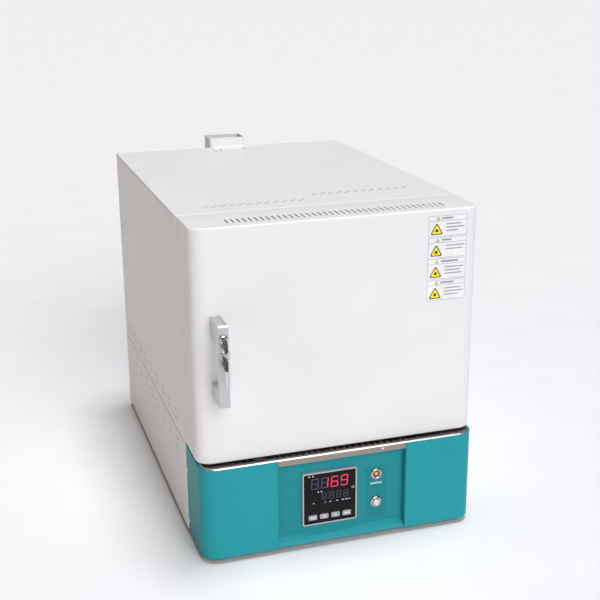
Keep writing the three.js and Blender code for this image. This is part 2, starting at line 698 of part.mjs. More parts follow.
function addDoorSeal() {
  const inner = 7;
  const band = 10;
  const ring = (reach, y0, y1) =>
    box(
      [-CHAMBER_HALF_W - reach, CHAMBER_HALF_W + reach],
      [y0, y1],
      [CHAMBER_Z0 - reach, CHAMBER_Z1 + reach],
    );
  const y0 = DOOR_T + GAP;
  const y1 = FRONT_Y - GAP;
  add("door_seal", cut(ring(inner + band, y0, y1), ring(inner, y0 - 1, y1 + 1)), FIBRE);
}

// ---- handle and lock ----
function addHandle() {
  const x0 = HANDLE_X - HANDLE_W / 2;
  const x1 = HANDLE_X + HANDLE_W / 2;
  const y0 = HANDLE_FRONT_Y;
  const y1 = HANDLE_FRONT_Y + HANDLE_BAR_T;
  const outline = [
    [y0 + 3, HANDLE_Z1],
    [y0, HANDLE_Z1 - 4],
    [y0, HANDLE_Z0 + 2],
    [y0 + 2, HANDLE_Z0],
    [-GAP, HANDLE_Z0],
    [-GAP, HANDLE_Z0 + HANDLE_LEG_LOW_H],
    [y1, HANDLE_Z0 + HANDLE_LEG_LOW_H],
    [y1, HANDLE_Z1 - HANDLE_LEG_TOP_H],
    [-GAP, HANDLE_Z1 - HANDLE_LEG_TOP_H],
    [-GAP, HANDLE_Z1],
  ];
  const bore = rod(HANDLE_X, LOCK_Z, SPINDLE_R + 0.6, y0 - 1, 1, 12);
  const seat = rod(HANDLE_X, LOCK_Z, LOCK_R + GAP, y0 - 1, y0 + 8);
  const groove = box([HANDLE_X - 4, HANDLE_X + 4], [y0 + 6, 1], [HANDLE_Z1 - 1.5, HANDLE_Z1 + 1]);
  add("handle", cut(alongX(outline, x0, x1), bore, seat, groove), ALUMINIUM);
}

function addLock() {
  const y0 = HANDLE_FRONT_Y;
  const barrel = rod(HANDLE_X, LOCK_Z, LOCK_R, y0 - 2, y0 + 7.6);
  const bore = rod(HANDLE_X, LOCK_Z, SPINDLE_R + 0.6, y0 - 3, y0 + 9, 12);
  add("lock_barrel", cut(barrel, bore), CHROME);
  const camY = FRONT_Y + SHEET + 2.4;
  const spindle = rod(HANDLE_X, LOCK_Z, SPINDLE_R, y0 - 3, camY + 1, 12);
  const cam = box([HANDLE_X - 4, HANDLE_X + 4], [camY, camY + 3], [LOCK_Z - CAM_REACH, LOCK_Z + 5]);
  add("lock_spindle_and_cam", joined(spindle, cam), CHROME);
}

// A key's plastic head: a flat plate in the y-z plane with a hole for the ring.
function keyHead(outline, holeY, holeZ) {
  const thick = 3;
  const plate = alongX(outline, HANDLE_X - thick / 2, HANDLE_X + thick / 2);
  const hole = new THREE.CylinderGeometry(1.9, 1.9, thick + 2, 10).rotateZ(Math.PI / 2);
  return cut(plate, solid(hole.translate(HANDLE_X, holeY, holeZ)));
}

function addKeys() {
  const shankEnd = HANDLE_FRONT_Y - 3 - GAP;
  const outline = [
    [shankEnd, LOCK_Z - 3],
    [shankEnd, LOCK_Z + 4],
    [KEY_FRONT_Y + 5, LOCK_Z + 4],
    [KEY_FRONT_Y, LOCK_Z - 2],
    [KEY_FRONT_Y, KEY_HOLE_Z + 2],
    [KEY_FRONT_Y + 5, KEY_HOLE_Z - 3.5],
    [KEY_FRONT_Y + 11, KEY_HOLE_Z - 3.5],
    [KEY_FRONT_Y + 14, KEY_HOLE_Z + 2],
    [KEY_FRONT_Y + 14, LOCK_Z - 5],
  ];
  add("lock_key", keyHead(outline, KEY_HOLE_Y, KEY_HOLE_Z), BLACK_PLASTIC);
  const ring = new THREE.TorusGeometry(RING_R, RING_WIRE_R, 6, 28).rotateX(Math.PI / 2);
  add("key_ring", solid(ring.translate(HANDLE_X, KEY_HOLE_Y, KEY_HOLE_Z - RING_R)), CHROME);
  const spareHoleZ = KEY_HOLE_Z - 2 * RING_R;
  const top = spareHoleZ + 3.5;
  const low = top - 20;
  const spare = [
    [KEY_HOLE_Y - 5, top],
    [KEY_HOLE_Y - 8, top - 4],
    [KEY_HOLE_Y - 8, low + 3],
    [KEY_HOLE_Y - 5, low],
    [KEY_HOLE_Y + 5, low],
    [KEY_HOLE_Y + 8, low + 3],
    [KEY_HOLE_Y + 8, top - 4],
    [KEY_HOLE_Y + 5, top],
  ];
  add("spare_key_head", keyHead(spare, KEY_HOLE_Y, spareHoleZ), BLACK_PLASTIC);
  const blade = box([HANDLE_X - 1, HANDLE_X + 1], [KEY_HOLE_Y - 3, KEY_HOLE_Y + 3], [low - 28, low - GAP]);
  add("spare_key_blade", blade, CHROME);
}

addFeet();
addBasePan();
addSidePanels();
addTopCover();
addFrontFrame();
addLockKeeper();
addRearPanel();
addPartition();
addWings();
addDeck();
addRestPad();
addControlPanel();
addController();
addControllerKeys();
addAlarm();
addPowerButton();
addInsulation();
addHearthPlate();
addElement("left", -1);
addElement("right", 1);
addThermocouple();
addFlue();
addElectrics();
addGland();
addHinges();
addDoorShell();
addDoorInside();
addDoorPlug();
addDoorSeal();
addHandle();
addLock();
addKeys();

// The origin is the centre of the bounding box's bottom face.
const FRONT_END = KEY_FRONT_Y;
const REAR_END = REAR_Y + GAP + FLUE_D;
group.position.set(-(HINGE_X + HINGE_R - HALF_W) / 2, -(FRONT_END + REAR_END) / 2, 0);

export default group;
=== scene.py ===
import json
import math

import bmesh
import bpy
from mathutils import Matrix, Vector


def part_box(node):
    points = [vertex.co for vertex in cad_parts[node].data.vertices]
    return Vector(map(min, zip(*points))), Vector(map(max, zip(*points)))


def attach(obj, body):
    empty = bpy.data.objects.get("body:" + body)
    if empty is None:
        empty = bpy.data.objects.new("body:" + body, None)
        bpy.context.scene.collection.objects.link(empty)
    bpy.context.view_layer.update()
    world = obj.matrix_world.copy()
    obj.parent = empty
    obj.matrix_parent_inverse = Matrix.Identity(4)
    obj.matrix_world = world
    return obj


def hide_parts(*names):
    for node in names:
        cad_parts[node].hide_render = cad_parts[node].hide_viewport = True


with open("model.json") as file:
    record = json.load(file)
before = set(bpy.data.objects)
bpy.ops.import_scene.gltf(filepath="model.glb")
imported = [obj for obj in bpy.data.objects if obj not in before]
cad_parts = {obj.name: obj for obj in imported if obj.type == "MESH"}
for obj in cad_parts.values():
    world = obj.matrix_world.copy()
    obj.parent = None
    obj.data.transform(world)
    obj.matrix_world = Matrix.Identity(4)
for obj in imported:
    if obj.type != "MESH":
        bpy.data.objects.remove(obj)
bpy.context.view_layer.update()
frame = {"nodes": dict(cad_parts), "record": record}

MM = 0.001
SHEET = 1.5 * MM  # sheet metal thickness


# ---- camera and studio ----
CAMERA_PLACE = (-0.56595, -1.87565, 0.9473)
CAMERA_AZIMUTH = math.radians(-17.783)
CAMERA_ELEVATION = math.radians(17.680)
CAMERA_ROLL = math.radians(-0.395)
CAMERA_LENS = 65.1  # millimetres, on a 36 mm sensor


def add_camera():
    turn, tilt, roll = CAMERA_AZIMUTH, CAMERA_ELEVATION, CAMERA_ROLL
    back = Vector((math.sin(turn) * math.cos(tilt), -math.cos(turn) * math.cos(tilt), math.sin(tilt)))
    level = (-back).cross(Vector((0, 0, 1))).normalized()
    upright = level.cross(-back)
    right = math.cos(roll) * level + math.sin(roll) * upright
    up = math.cos(roll) * upright - math.sin(roll) * level
    camera = bpy.data.objects.new("camera", bpy.data.cameras.new("camera"))
    camera.data.sensor_width = 36
    camera.data.lens = CAMERA_LENS
    axes = Matrix((right, up, back)).transposed().to_4x4()
    camera.matrix_world = Matrix.Translation(CAMERA_PLACE) @ axes
    bpy.context.scene.collection.objects.link(camera)
    bpy.context.scene.camera = camera


def add_light(name, kind, strength, place, target, **settings):
    light = bpy.data.lights.new(name, kind)
    light.energy = strength
    for key, value in settings.items():
        setattr(light, key, value)
    lamp = bpy.data.objects.new(name, light)
    lamp.location = place
    lamp.rotation_euler = (Vector(target) - Vector(place)).to_track_quat("-Z", "Y").to_euler()
    bpy.context.scene.collection.objects.link(lamp)


def add_studio():
    scene = bpy.context.scene
    scene.view_settings.view_transform = "Standard"
    scene.world = scene.world or bpy.data.worlds.new("world")
    scene.world.use_nodes = True
    sky = scene.world.node_tree.nodes["Background"]
    sky.inputs["Color"].default_value = (1.0, 0.94, 0.86, 1)
    sky.inputs["Strength"].default_value = 0.02
    centre = (0, 0, 0.3)
    cool, warm = (0.97, 0.97, 1.0), (1.0, 0.6, 0.12)
    add_light("key", "SUN", 2.2, (0.35, -4.03, 2.5), centre, angle=math.radians(40))
    add_light("overhead", "SUN", 2.50, (0.4, -0.1, 4.3), centre, angle=math.radians(22), color=cool)
    add_light("warm_fill", "SUN", 0.34, (-4, -0.6, 1.1), centre, angle=math.radians(40), color=warm)
    bm = bmesh.new()
    bmesh.ops.create_circle(bm, cap_ends=True, segments=64, radius=40)
    mesh = bpy.data.meshes.new("floor")
    bm.to_mesh(mesh)
    bm.free()
    floor = bpy.data.objects.new("floor", mesh)
    mesh.materials.append(painted("floor_paint", (0.79, 0.795, 0.81), 0.9, peel=0.05, gloss=0.1))
    scene.collection.objects.link(floor)


# ---- materials ----
def new_material(name, colour, roughness, metallic=0.0):
    material = bpy.data.materials.new(name)
    material.use_nodes = True
    shader = material.node_tree.nodes["Principled BSDF"]
    shader.inputs["Base Color"].default_value = (*colour, 1)
    shader.inputs["Roughness"].default_value = roughness
    shader.inputs["Metallic"].default_value = metallic
    return material, shader


def node(material, kind, inputs, **settings):
    """Adds a node, with its settings and what its inputs are linked to or set to."""
    made = material.node_tree.nodes.new(kind)
    for key, value in settings.items():
        setattr(made, key, value)
    for socket, value in inputs.items():
        if isinstance(value, bpy.types.NodeSocket):
            material.node_tree.links.new(value, made.inputs[socket])
        else:
            made.inputs[socket].default_value = value
    return made


def object_point(material, stretch=(1, 1, 1)):
    """Object coordinates, which are the model's own metres, stretched along each axis."""
    where = node(material, "ShaderNodeTexCoord", {}).outputs["Object"]
    return node(material, "ShaderNodeMapping", {"Vector": where, "Scale": stretch}).outputs["Vector"]


def noise(material, where, scale, detail=2.0, roughness=0.5):
    inputs = {"Vector": where, "Scale": scale, "Detail": detail, "Roughness": roughness}
    return node(material, "ShaderNodeTexNoise", inputs).outputs["Fac"]


def spread(material, value, low, high, at=(0.3, 0.7)):
    """Maps a texture's middle range to low..high."""
    inputs = {"Value": value, "From Min": at[0], "From Max": at[1], "To Min": low, "To Max": high}
    return node(material, "ShaderNodeMapRange", inputs).outputs["Result"]


def vary_colour(material, shader, amount, dark, light):
    mixed = node(material, "ShaderNodeMix", {"Factor": amount}, data_type="RGBA")
    mixed.inputs["A"].default_value = (*dark, 1)
    mixed.inputs["B"].default_value = (*light, 1)
    mixed.inputs[6].default_value = (*dark, 1)
    mixed.inputs[7].default_value = (*light, 1)
    material.node_tree.links.new(mixed.outputs[2], shader.inputs["Base Color"])


def scaled(colour, factor):
    return tuple(min(1.0, part * factor) for part in colour)


def bump(material, shader, height, strength, distance):
    inputs = {"Height": height, "Strength": strength, "Distance": distance}
    normal = node(material, "ShaderNodeBump", inputs).outputs["Normal"]
    material.node_tree.links.new(normal, shader.inputs["Normal"])


def vary_roughness(material, shader, value):
    material.node_tree.links.new(value, shader.inputs["Roughness"])


def painted(name, colour, roughness, peel=0.25, gloss=0.5):
    """Powder coat: a fine orange peel, faint clouds in its colour and uneven gloss."""
    material, shader = new_material(name, colour, roughness)
    where = object_point(material)
    clouds = noise(material, where, 7, 3)
    vary_colour(material, shader, clouds, scaled(colour, 0.95), scaled(colour, 1.02))
    grain = noise(material, where, 650, 1)
    vary_roughness(material, shader, spread(material, clouds, roughness - 0.03, roughness + 0.03, (0, 1)))
    bump(material, shader, grain, peel, 0.15 * MM)
    shader.inputs["Specular IOR Level"].default_value = gloss
    return material


def brushed(name, colour, roughness, stretch, scratch=0.25):
    """Metal with fine parallel scratches; stretch is large across the scratches and small along them."""
    material, shader = new_material(name, colour, roughness, 1.0)
    lines = noise(material, object_point(material, stretch), 1.0, 4, 0.7)
    clouds = noise(material, object_point(material), 25, 3)
    vary_colour(material, shader, lines, scaled(colour, 0.86), scaled(colour, 1.08))
    soft = spread(material, lines, roughness - 0.07, roughness + 0.10)
    uneven = spread(material, clouds, -0.04, 0.05)
    total = node(material, "ShaderNodeMath", {0: soft, 1: uneven}, operation="ADD").outputs[0]
    vary_roughness(material, shader, total)
    bump(material, shader, lines, scratch, 0.08 * MM)
    return material


def plated(name, colour, roughness):
    """Zinc or chrome plate, with faint cloudy patches."""
    material, shader = new_material(name, colour, roughness, 1.0)
    patches = noise(material, object_point(material), 60, 4, 0.6)
    vary_colour(material, shader, patches, scaled(colour, 0.90), scaled(colour, 1.05))
    vary_roughness(material, shader, spread(material, patches, roughness * 0.7, roughness * 1.3))
    return material


def fibre(name, colour):
    """Ceramic fibre board: a felted surface with soft pits and stray darker specks."""
    material, shader = new_material(name, colour, 0.95)
    where = object_point(material)
    felt = noise(material, where, 420, 6, 0.75)
    dents = noise(material, where, 45, 3)
    vary_colour(material, shader, dents, scaled(colour, 0.86), scaled(colour, 1.04))
    height = node(material, "ShaderNodeMath", {0: felt, 1: dents}, operation="ADD").outputs[0]
    bump(material, shader, height, 0.7, 0.5 * MM)
    shader.inputs["Sheen Weight"].default_value = 0.2
    return material


def grainy(name, colour, speck, scale, roughness, strength=0.4):
    """Fired clay: a body colour with specks of another colour and a gritty surface."""
    material, shader = new_material(name, colour, roughness)
    where = object_point(material)
    grit = noise(material, where, scale, 5, 0.7)
    vary_colour(material, shader, spread(material, grit, 0, 1, (0.42, 0.66)), colour, speck)
    bump(material, shader, grit, strength, 0.25 * MM)
    return material


def moulded(name, colour, roughness, texture=0.2, scale=900):
    """Plastic or rubber with a fine moulded texture."""
    material, shader = new_material(name, colour, roughness)
    where = object_point(material)
    skin = noise(material, where, scale, 2)
    clouds = noise(material, where, 40, 2)
    vary_colour(material, shader, clouds, scaled(colour, 0.85), scaled(colour, 1.15))
    vary_roughness(material, shader, spread(material, clouds, roughness - 0.05, roughness + 0.07))
    bump(material, shader, skin, texture, 0.08 * MM)
    return material


def glowing(name, colour, strength):
    """A lit display segment, a little uneven in brightness as a moulded light pipe is."""
    material, shader = new_material(name, scaled(colour, 0.4), 0.35)
    glow = noise(material, object_point(material), 500, 1)
    vary_colour(material, shader, glow, scaled(colour, 0.35), scaled(colour, 0.45))
    shader.inputs["Emission Color"].default_value = (*colour, 1)
    shader.inputs["Emission Strength"].default_value = strength
    return material


def lens(name, colour, roughness=0.12, coat=0.5):
    """A clear coloured lens or glossy front: faint ripples under a gloss coat."""
    material, shader = new_material(name, colour, roughness)
    ripple = noise(material, object_point(material), 180, 2)
    vary_colour(material, shader, ripple, scaled(colour, 0.8), scaled(colour, 1.15))
    vary_roughness(material, shader, spread(material, ripple, roughness * 0.7, roughness * 1.4))
    shader.inputs["Coat Weight"].default_value = coat
    shader.inputs["Coat Roughness"].default_value = 0.05
    shader.inputs["Specular IOR Level"].default_value = coat
    return material


def make_finishes():
    return {
        "white_paint": painted("white_powder_coat", (0.77, 0.77, 0.785), 0.42, gloss=0.1),
        "teal_paint": painted("teal_powder_coat", (0.024, 0.30, 0.345), 0.36, peel=0.2, gloss=0.06),
        # The stainless is the steel's brushed grey, darkened and browned as painted shade under the door and a
        # painted reflection of dark surroundings.
        "stainless": brushed("brushed_stainless_painted_shade", (0.22, 0.19, 0.175), 0.24, (30, 2400, 2400), 0.12),
        # A pale copy of the stainless for the shelf's rounded nose: a painted highlight line along the front edge.
        "stainless_nose_painted_highlight": brushed("stainless_nose_painted_highlight", (0.80, 0.75, 0.71), 0.34, (30, 2400, 2400), 0.12),
        # A separate dark brown-grey copy of the stainless for the lip's front face: a painted reflection of the dark
        # space in front of it.
        "stainless_lip_painted_reflection": brushed("stainless_lip_painted_reflection", (0.36, 0.31, 0.275), 0.26, (30, 2400, 2400), 0.12),
        "zinc": plated("zinc_plate", (0.60, 0.62, 0.64), 0.42),
        "aluminium": brushed("brushed_aluminium", (0.60, 0.61, 0.62), 0.32, (2600, 2600, 40)),
        "chrome": plated("chrome_plate", (0.86, 0.86, 0.87), 0.10),
        "ceramic_fibre": fibre("ceramic_fibre_board", (0.86, 0.84, 0.78)),
        "refractory": grainy("refractory_plate", (0.55, 0.44, 0.32), (0.35, 0.25, 0.17), 500, 0.85),
        "ceramic": grainy("ceramic_tube", (0.80, 0.76, 0.67), (0.62, 0.57, 0.48), 300, 0.6, 0.2),
        "resistance_wire": grainy("oxidised_wire", (0.10, 0.085, 0.075), (0.20, 0.16, 0.13), 700, 0.55, 0.3),
        "rubber": moulded("rubber", (0.018, 0.018, 0.019), 0.75, 0.4, 500),
        "black_plastic": moulded("black_plastic", (0.012, 0.012, 0.013), 0.38),
        "display_face": lens("smoked_display_front", (0.010, 0.010, 0.012), 0.2, 0.06),
        "silver_plastic": moulded("silver_plastic", (0.46, 0.43, 0.48), 0.40),
        "key_plastic": moulded("grey_key_plastic", (0.35, 0.36, 0.37), 0.45),
        "alarm_lens": lens("red_lens", (0.42, 0.05, 0.03)),
        "button_lens": lens("green_lens", (0.50, 0.78, 0.62)),
        "lit_segment": glowing("lit_segment", (0.9, 0.02, 0.10), 1.0),
        "unlit_segment": moulded("unlit_segment", (0.055, 0.045, 0.10), 0.5),
        "unlit_green_segment": moulded("unlit_green_segment", (0.035, 0.045, 0.06), 0.5),
        "legend_ink": moulded("white_legend_ink", (0.72, 0.72, 0.74), 0.5),
        "label_stock": moulded("white_label_vinyl", (0.80, 0.80, 0.81), 0.35, 0.1),
        "label_line": moulded("violet_grey_ink", (0.42, 0.40, 0.55), 0.45, 0.1),
        "label_text": moulded("grey_ink", (0.30, 0.30, 0.36), 0.45, 0.1),
        "label_yellow": moulded("yellow_ink", (0.92, 0.70, 0.03), 0.40, 0.1),
        "label_black": moulded("black_ink", (0.02, 0.02, 0.02), 0.45, 0.1),
        "teal_plate": painted("teal_plate", (0.022, 0.22, 0.25), 0.36, peel=0.1, gloss=0.06),
        # A darker copy of the teal paint for the recessed panel's face: painted shade from the recess.
        "teal_painted_shade": painted("teal_painted_shade", (0.022, 0.25, 0.285), 0.40, peel=0.2, gloss=0.06),
        "key_ink": moulded("key_legend_ink", (0.85, 0.85, 0.86), 0.5, 0.1),
        "button_metal": plated("button_cap_metal", (0.78, 0.78, 0.79), 0.22),
        "bezel_steel": plated("bezel_steel", (0.52, 0.49, 0.48), 0.24),
        "screw_zinc": plated("screw_zinc", (0.74, 0.75, 0.75), 0.28),
        "pilot": glowing("alarm_pilot", (0.75, 0.80, 0.25), 0.35),
    }


FINISH = make_finishes()
SLOT_OF = {part["node"]: part["material_slot"] for part in frame["record"]["subparts"]}


# ---- mesh helpers ----
def arc(centre, radius, start, end, steps):
    """Points along an arc, with angles in degrees; the list holds both ends."""
    angles = [math.radians(start + (end - start) * i / steps) for i in range(steps + 1)]
    return [(centre[0] + radius * math.cos(a), centre[1] + radius * math.sin(a)) for a in angles]


def circle(centre, radius, steps=32):
    return arc(centre, radius, 0, 360, steps)[:-1]


def rounded(low, high, radius, steps=5):
    """A rectangle with round corners."""
    (u0, v0), (u1, v1) = low, high
    r = min(radius, (u1 - u0) / 2 - 1e-6, (v1 - v0) / 2 - 1e-6)
    corners = [((u1 - r, v0 + r), -90), ((u1 - r, v1 - r), 0), ((u0 + r, v1 - r), 90), ((u0 + r, v0 + r), 180)]
    return [point for centre, start in corners for point in arc(centre, r, start, start + 90, steps)]


def slot_hole(centre, length, width, angle=0.0, steps=5):
    """A straight slot with round ends; angle is that of its long axis, in degrees."""
    half, r = (length - width) / 2, width / 2
    points = arc((half, 0), r, -90, 90, steps) + arc((-half, 0), r, 90, 270, steps)
    c, s = math.cos(math.radians(angle)), math.sin(math.radians(angle))
    return [(centre[0] + c * u - s * v, centre[1] + s * u + c * v) for u, v in points]


def on_front(y):
    return lambda u, v: (u, y, v)


def on_side(x):
    return lambda u, v: (x, u, v)


def on_top(z):
    return lambda u, v: (u, v, z)


def fill(bm, loops, place, index=0):
    """A flat face with holes: the first loop is its outline, and any others are its holes."""
    edges = []
    for loop in loops:
        verts = [bm.verts.new(place(u, v)) for u, v in loop]
        edges += [bm.edges.new(pair) for pair in zip(verts, verts[1:] + verts[:1])]
    made = bmesh.ops.triangle_fill(bm, use_beauty=True, use_dissolve=False, edges=edges)
    for item in made["geom"]:
        if isinstance(item, bmesh.types.BMFace):
            item.material_index = index


def prism(bm, loop, low, high, index=0):
    """A closed outline carried from one placement to another, with both ends capped."""
    a = [bm.verts.new(low(u, v)) for u, v in loop]
    b = [bm.verts.new(high(u, v)) for u, v in loop]
    faces = [bm.faces.new(a), bm.faces.new(b)]
    for i in range(len(loop)):
        j = (i + 1) % len(loop)
        faces.append(bm.faces.new((a[i], a[j], b[j], b[i])))
    for face in faces:
        face.material_index = index
    return faces


def block(bm, low, high, index=0):
    (x0, y0, z0), (x1, y1, z1) = low, high
    corners = [(x0, y0), (x1, y0), (x1, y1), (x0, y1)]
    return prism(bm, corners, on_top(z0), on_top(z1), index)


def loft(bm, rings, closed=True, caps=True, index=0):
    """Skins rings of points that all have the same length."""
    rows = [[bm.verts.new(point) for point in ring] for ring in rings]
    count = len(rows[0])
    for row, above in zip(rows, rows[1:]):
        for i in range(count if closed else count - 1):
            j = (i + 1) % count
            bm.faces.new((row[i], row[j], above[j], above[i])).material_index = index
    if caps:
        bm.faces.new(rows[0]).material_index = index
        bm.faces.new(rows[-1]).material_index = index
    return rows


def frame_for(axis):
    """Two directions square to an axis."""
    w = Vector(axis).normalized()
    u = w.orthogonal().normalized()
    if abs(w.z) < 0.5:
        u = w.cross(Vector((0, 0, 1))).normalized()
    return u, w.cross(u), w


def lathe(bm, centre, axis, profile, steps=32, index=0, start=0.0):
    """Turns (radius, height) points about an axis; a closed profile makes a ring."""
    u, v, w = frame_for(axis)
    centre = Vector(centre)
    rings = []
    for radius, height in profile:
        turn = [2 * math.pi * i / steps + start for i in range(steps)]
        rings.append([centre + w * height + (u * math.cos(a) + v * math.sin(a)) * radius for a in turn])
    closed = profile[0] == profile[-1]
    if closed:
        rings.pop()
    rows = [[bm.verts.new(point) for point in ring] for ring in rings]
    spans = list(zip(rows, rows[1:])) + ([(rows[-1], rows[0])] if closed else [])
    for row, above in spans:
        for i in range(steps):
            j = (i + 1) % steps
            bm.faces.new((row[i], row[j], above[j], above[i])).material_index = index
    if not closed:
        bm.faces.new(rows[0]).material_index = index
        bm.faces.new(rows[-1]).material_index = index


def tube(bm, path, radius, sides=8, closed=False, index=0):
    """A round bar along a path, with its section carried along without twisting."""
    points = [Vector(p) for p in path]
    count = len(points)
    normal = None
    rings = []
    for i, point in enumerate(points):
        before = points[i - 1] if (i or closed) else point
        after = points[(i + 1) % count] if (i < count - 1 or closed) else point
        tangent = (after - before).normalized()
        normal = tangent.orthogonal() if normal is None else normal - tangent * normal.dot(tangent)
        normal.normalize()
        side = tangent.cross(normal)
        turn = [2 * math.pi * k / sides for k in range(sides)]
        rings.append([point + (normal * math.cos(a) + side * math.sin(a)) * radius for a in turn])
    if closed:
        rings.append(rings[0])
    loft(bm, rings, caps=not closed, index=index)


def finish_piece(name, bm, finishes, body, replaces=(), thickness=0.0, bevel=0.0, inside=None,
                 smooth=True):
    """Makes the object from the mesh: faces point out, or away from the point inside."""
    bmesh.ops.remove_doubles(bm, verts=bm.verts, dist=1e-6)
    bmesh.ops.recalc_face_normals(bm, faces=bm.faces)
    if inside is not None:
        widest = max(bm.faces, key=lambda face: face.calc_area())
        if widest.normal.dot(widest.calc_center_median() - Vector(inside)) < 0:
            bmesh.ops.reverse_faces(bm, faces=bm.faces)
    mesh = bpy.data.meshes.new(name)
    bm.to_mesh(mesh)
    bm.free()
    for finish in finishes:
        mesh.materials.append(FINISH[finish])
    if smooth:
        mesh.shade_smooth()
    piece = bpy.data.objects.new(name, mesh)
    bpy.context.scene.collection.objects.link(piece)
    if thickness:
        sheet = piece.modifiers.new("sheet", "SOLIDIFY")
        sheet.thickness = thickness
        sheet.offset = -1
        sheet.use_even_offset = True
    soften(piece, bevel)
    if not smooth:
        piece.modifiers.remove(piece.modifiers["shading"])
    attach(piece, body)
    if replaces:
        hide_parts(*replaces)
    return piece


def soften(piece, bevel, segments=2):
    """Rounds the sharp edges a little, and keeps the flat faces flat in their shading."""
    if bevel:
        edge = piece.modifiers.new("edge", "BEVEL")
        edge.width = bevel
        edge.segments = segments
        edge.limit_method = "ANGLE"
        edge.angle_limit = math.radians(40)
        edge.miter_outer = "MITER_ARC"
    else:
        piece.data.set_sharp_from_angle(angle=math.radians(40))
    shading = piece.modifiers.new("shading", "WEIGHTED_NORMAL")
    shading.keep_sharp = True
    shading.weight = 100


def keep_cad(name, bevel, finish=None):
    """A CAD node whose shape is right: its material and softened edges only."""
    piece = frame["nodes"][name]
    piece.data.materials.clear()
    piece.data.materials.append(FINISH[finish or SLOT_OF[name]])
    for polygon in piece.data.polygons:
        polygon.use_smooth = True
    weld = piece.modifiers.new("weld", "WELD")
    weld.merge_threshold = 1e-6
    soften(piece, bevel)


add_camera()
add_studio()


# ---- door ----
DOOR_CORNER = 25 * MM  # the upright front corners
DOOR_EDGE = 3 * MM  # the top and bottom edges
DOOR_SLOTS = 39
DOOR_SLOT_PITCH = 9.45 * MM


def front_corners(low, high, front, inset, corner, steps=14):
    """A plan from the rear left, round the two front corners, to the rear right."""
    radius = corner - inset
    left, right, near = low + inset, high - inset, front + inset
    points = arc((left + radius, near + radius), radius, 180, 270, steps)
    return points + arc((right - radius, near + radius), radius, 270, 360, steps)


def door_outline(low, high, inset):
    plan = front_corners(low.x, high.x, low.y, inset, DOOR_CORNER)
    return [(low.x + inset, high.y)] + plan + [(high.x - inset, high.y)]


def add_door_shell():
    low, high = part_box("door_shell")
    bm = bmesh.new()
    turns = [math.radians(90 * i / 6) for i in range(7)]
    edge = [(DOOR_EDGE * (1 - math.cos(a)), DOOR_EDGE * (1 - math.sin(a))) for a in turns]
    levels = [(inset, low.z + rise) for inset, rise in reversed(edge)]
    levels += [(inset, high.z - drop) for inset, drop in edge]
    loft(bm, [[(x, y, z) for x, y in door_outline(low, high, inset)] for inset, z in levels], False, False)
    middle, depth = (low.x + high.x) / 2 + 5 * MM, low.y + 36 * MM
    first = middle - (DOOR_SLOTS - 1) / 2 * DOOR_SLOT_PITCH
    slots = [slot_hole((first + i * DOOR_SLOT_PITCH, depth), 28 * MM, 2.8 * MM, 90) for i in range(DOOR_SLOTS)]
    cap = door_outline(low, high, DOOR_EDGE)
    fill(bm, [cap] + slots, on_top(high.z))
    fill(bm, [cap], on_top(low.z))
    inside = (low + high) / 2
    finish_piece("door_skin", bm, ["white_paint"], "door", ["door_shell"], SHEET, 0, inside)


def add_door_seal():
    """A flattened rope of ceramic fibre laid round the chamber's mouth."""
    low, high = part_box("door_seal")
    band, thick = 10 * MM, high.y - low.y
    (x0, z0), (x1, z1) = (low.x + band / 2, low.z + band / 2), (high.x - band / 2, high.z - band / 2)
    corners = rounded((x0, z0), (x1, z1), 12 * MM, 8)
    path, step = [], 2.0 * MM
    for start, end in zip(corners, corners[1:] + corners[:1]):
        start, end = Vector(start), Vector(end)
        count = max(1, round((end - start).length / step))
        path += [start.lerp(end, i / count) for i in range(count)]
    rings = []
    sides = 12
    for i, point in enumerate(path):
        along = (path[(i + 1) % len(path)] - path[i - 1]).normalized()
        across = Vector((along.y, -along.x))
        ring = []
        for k in range(sides):
            a = 2 * math.pi * k / sides
            plait = 1 - 0.10 * (0.5 + 0.5 * math.cos(2 * a + i * 1.3))
            u = across * (band / 2 * math.cos(a) * plait)
            ring.append((point.x + u.x, (low.y + high.y) / 2 + thick / 2 * math.sin(a) * plait, point.y + u.y))
        rings.append(ring)
    bm = bmesh.new()
    loft(bm, rings + rings[:1], caps=False)
    finish_piece("door_rope_seal", bm, ["ceramic_fibre"], "door", ["door_seal"])


# ---- cabinet panels ----
VENT_COLUMNS = 9
VENT_PITCH = 58.5 * MM
VENT_LENGTH = 28 * MM
VENT_HEIGHT = 3 * MM
VENT_FIRST = 51 * MM  # behind the panel's front edge
UPPER_VENTS = (20 * MM, 35 * MM)  # above the panel's lower edge
LOWER_VENTS = (16.7 * MM, 31.7 * MM)  # below the panel's upper edge


def folded(bm, low, high, radius, place):
    """Rounds a flat sheet's four edges inwards and returns the outline of its flat face."""
    steps = 5
    rings = []
    for i in range(steps + 1):
        a = math.radians(90 * i / steps)
        inset, depth = radius * (1 - math.cos(a)), radius * (1 - math.sin(a))
        (u0, v0), (u1, v1) = [c + inset for c in low], [c - inset for c in high]
        outline = [(u0, v0), (u1, v0), (u1, v1), (u0, v1)]
        rings.append([place(depth)(u, v) for u, v in outline])
    loft(bm, rings, closed=True, caps=False)
    return outline


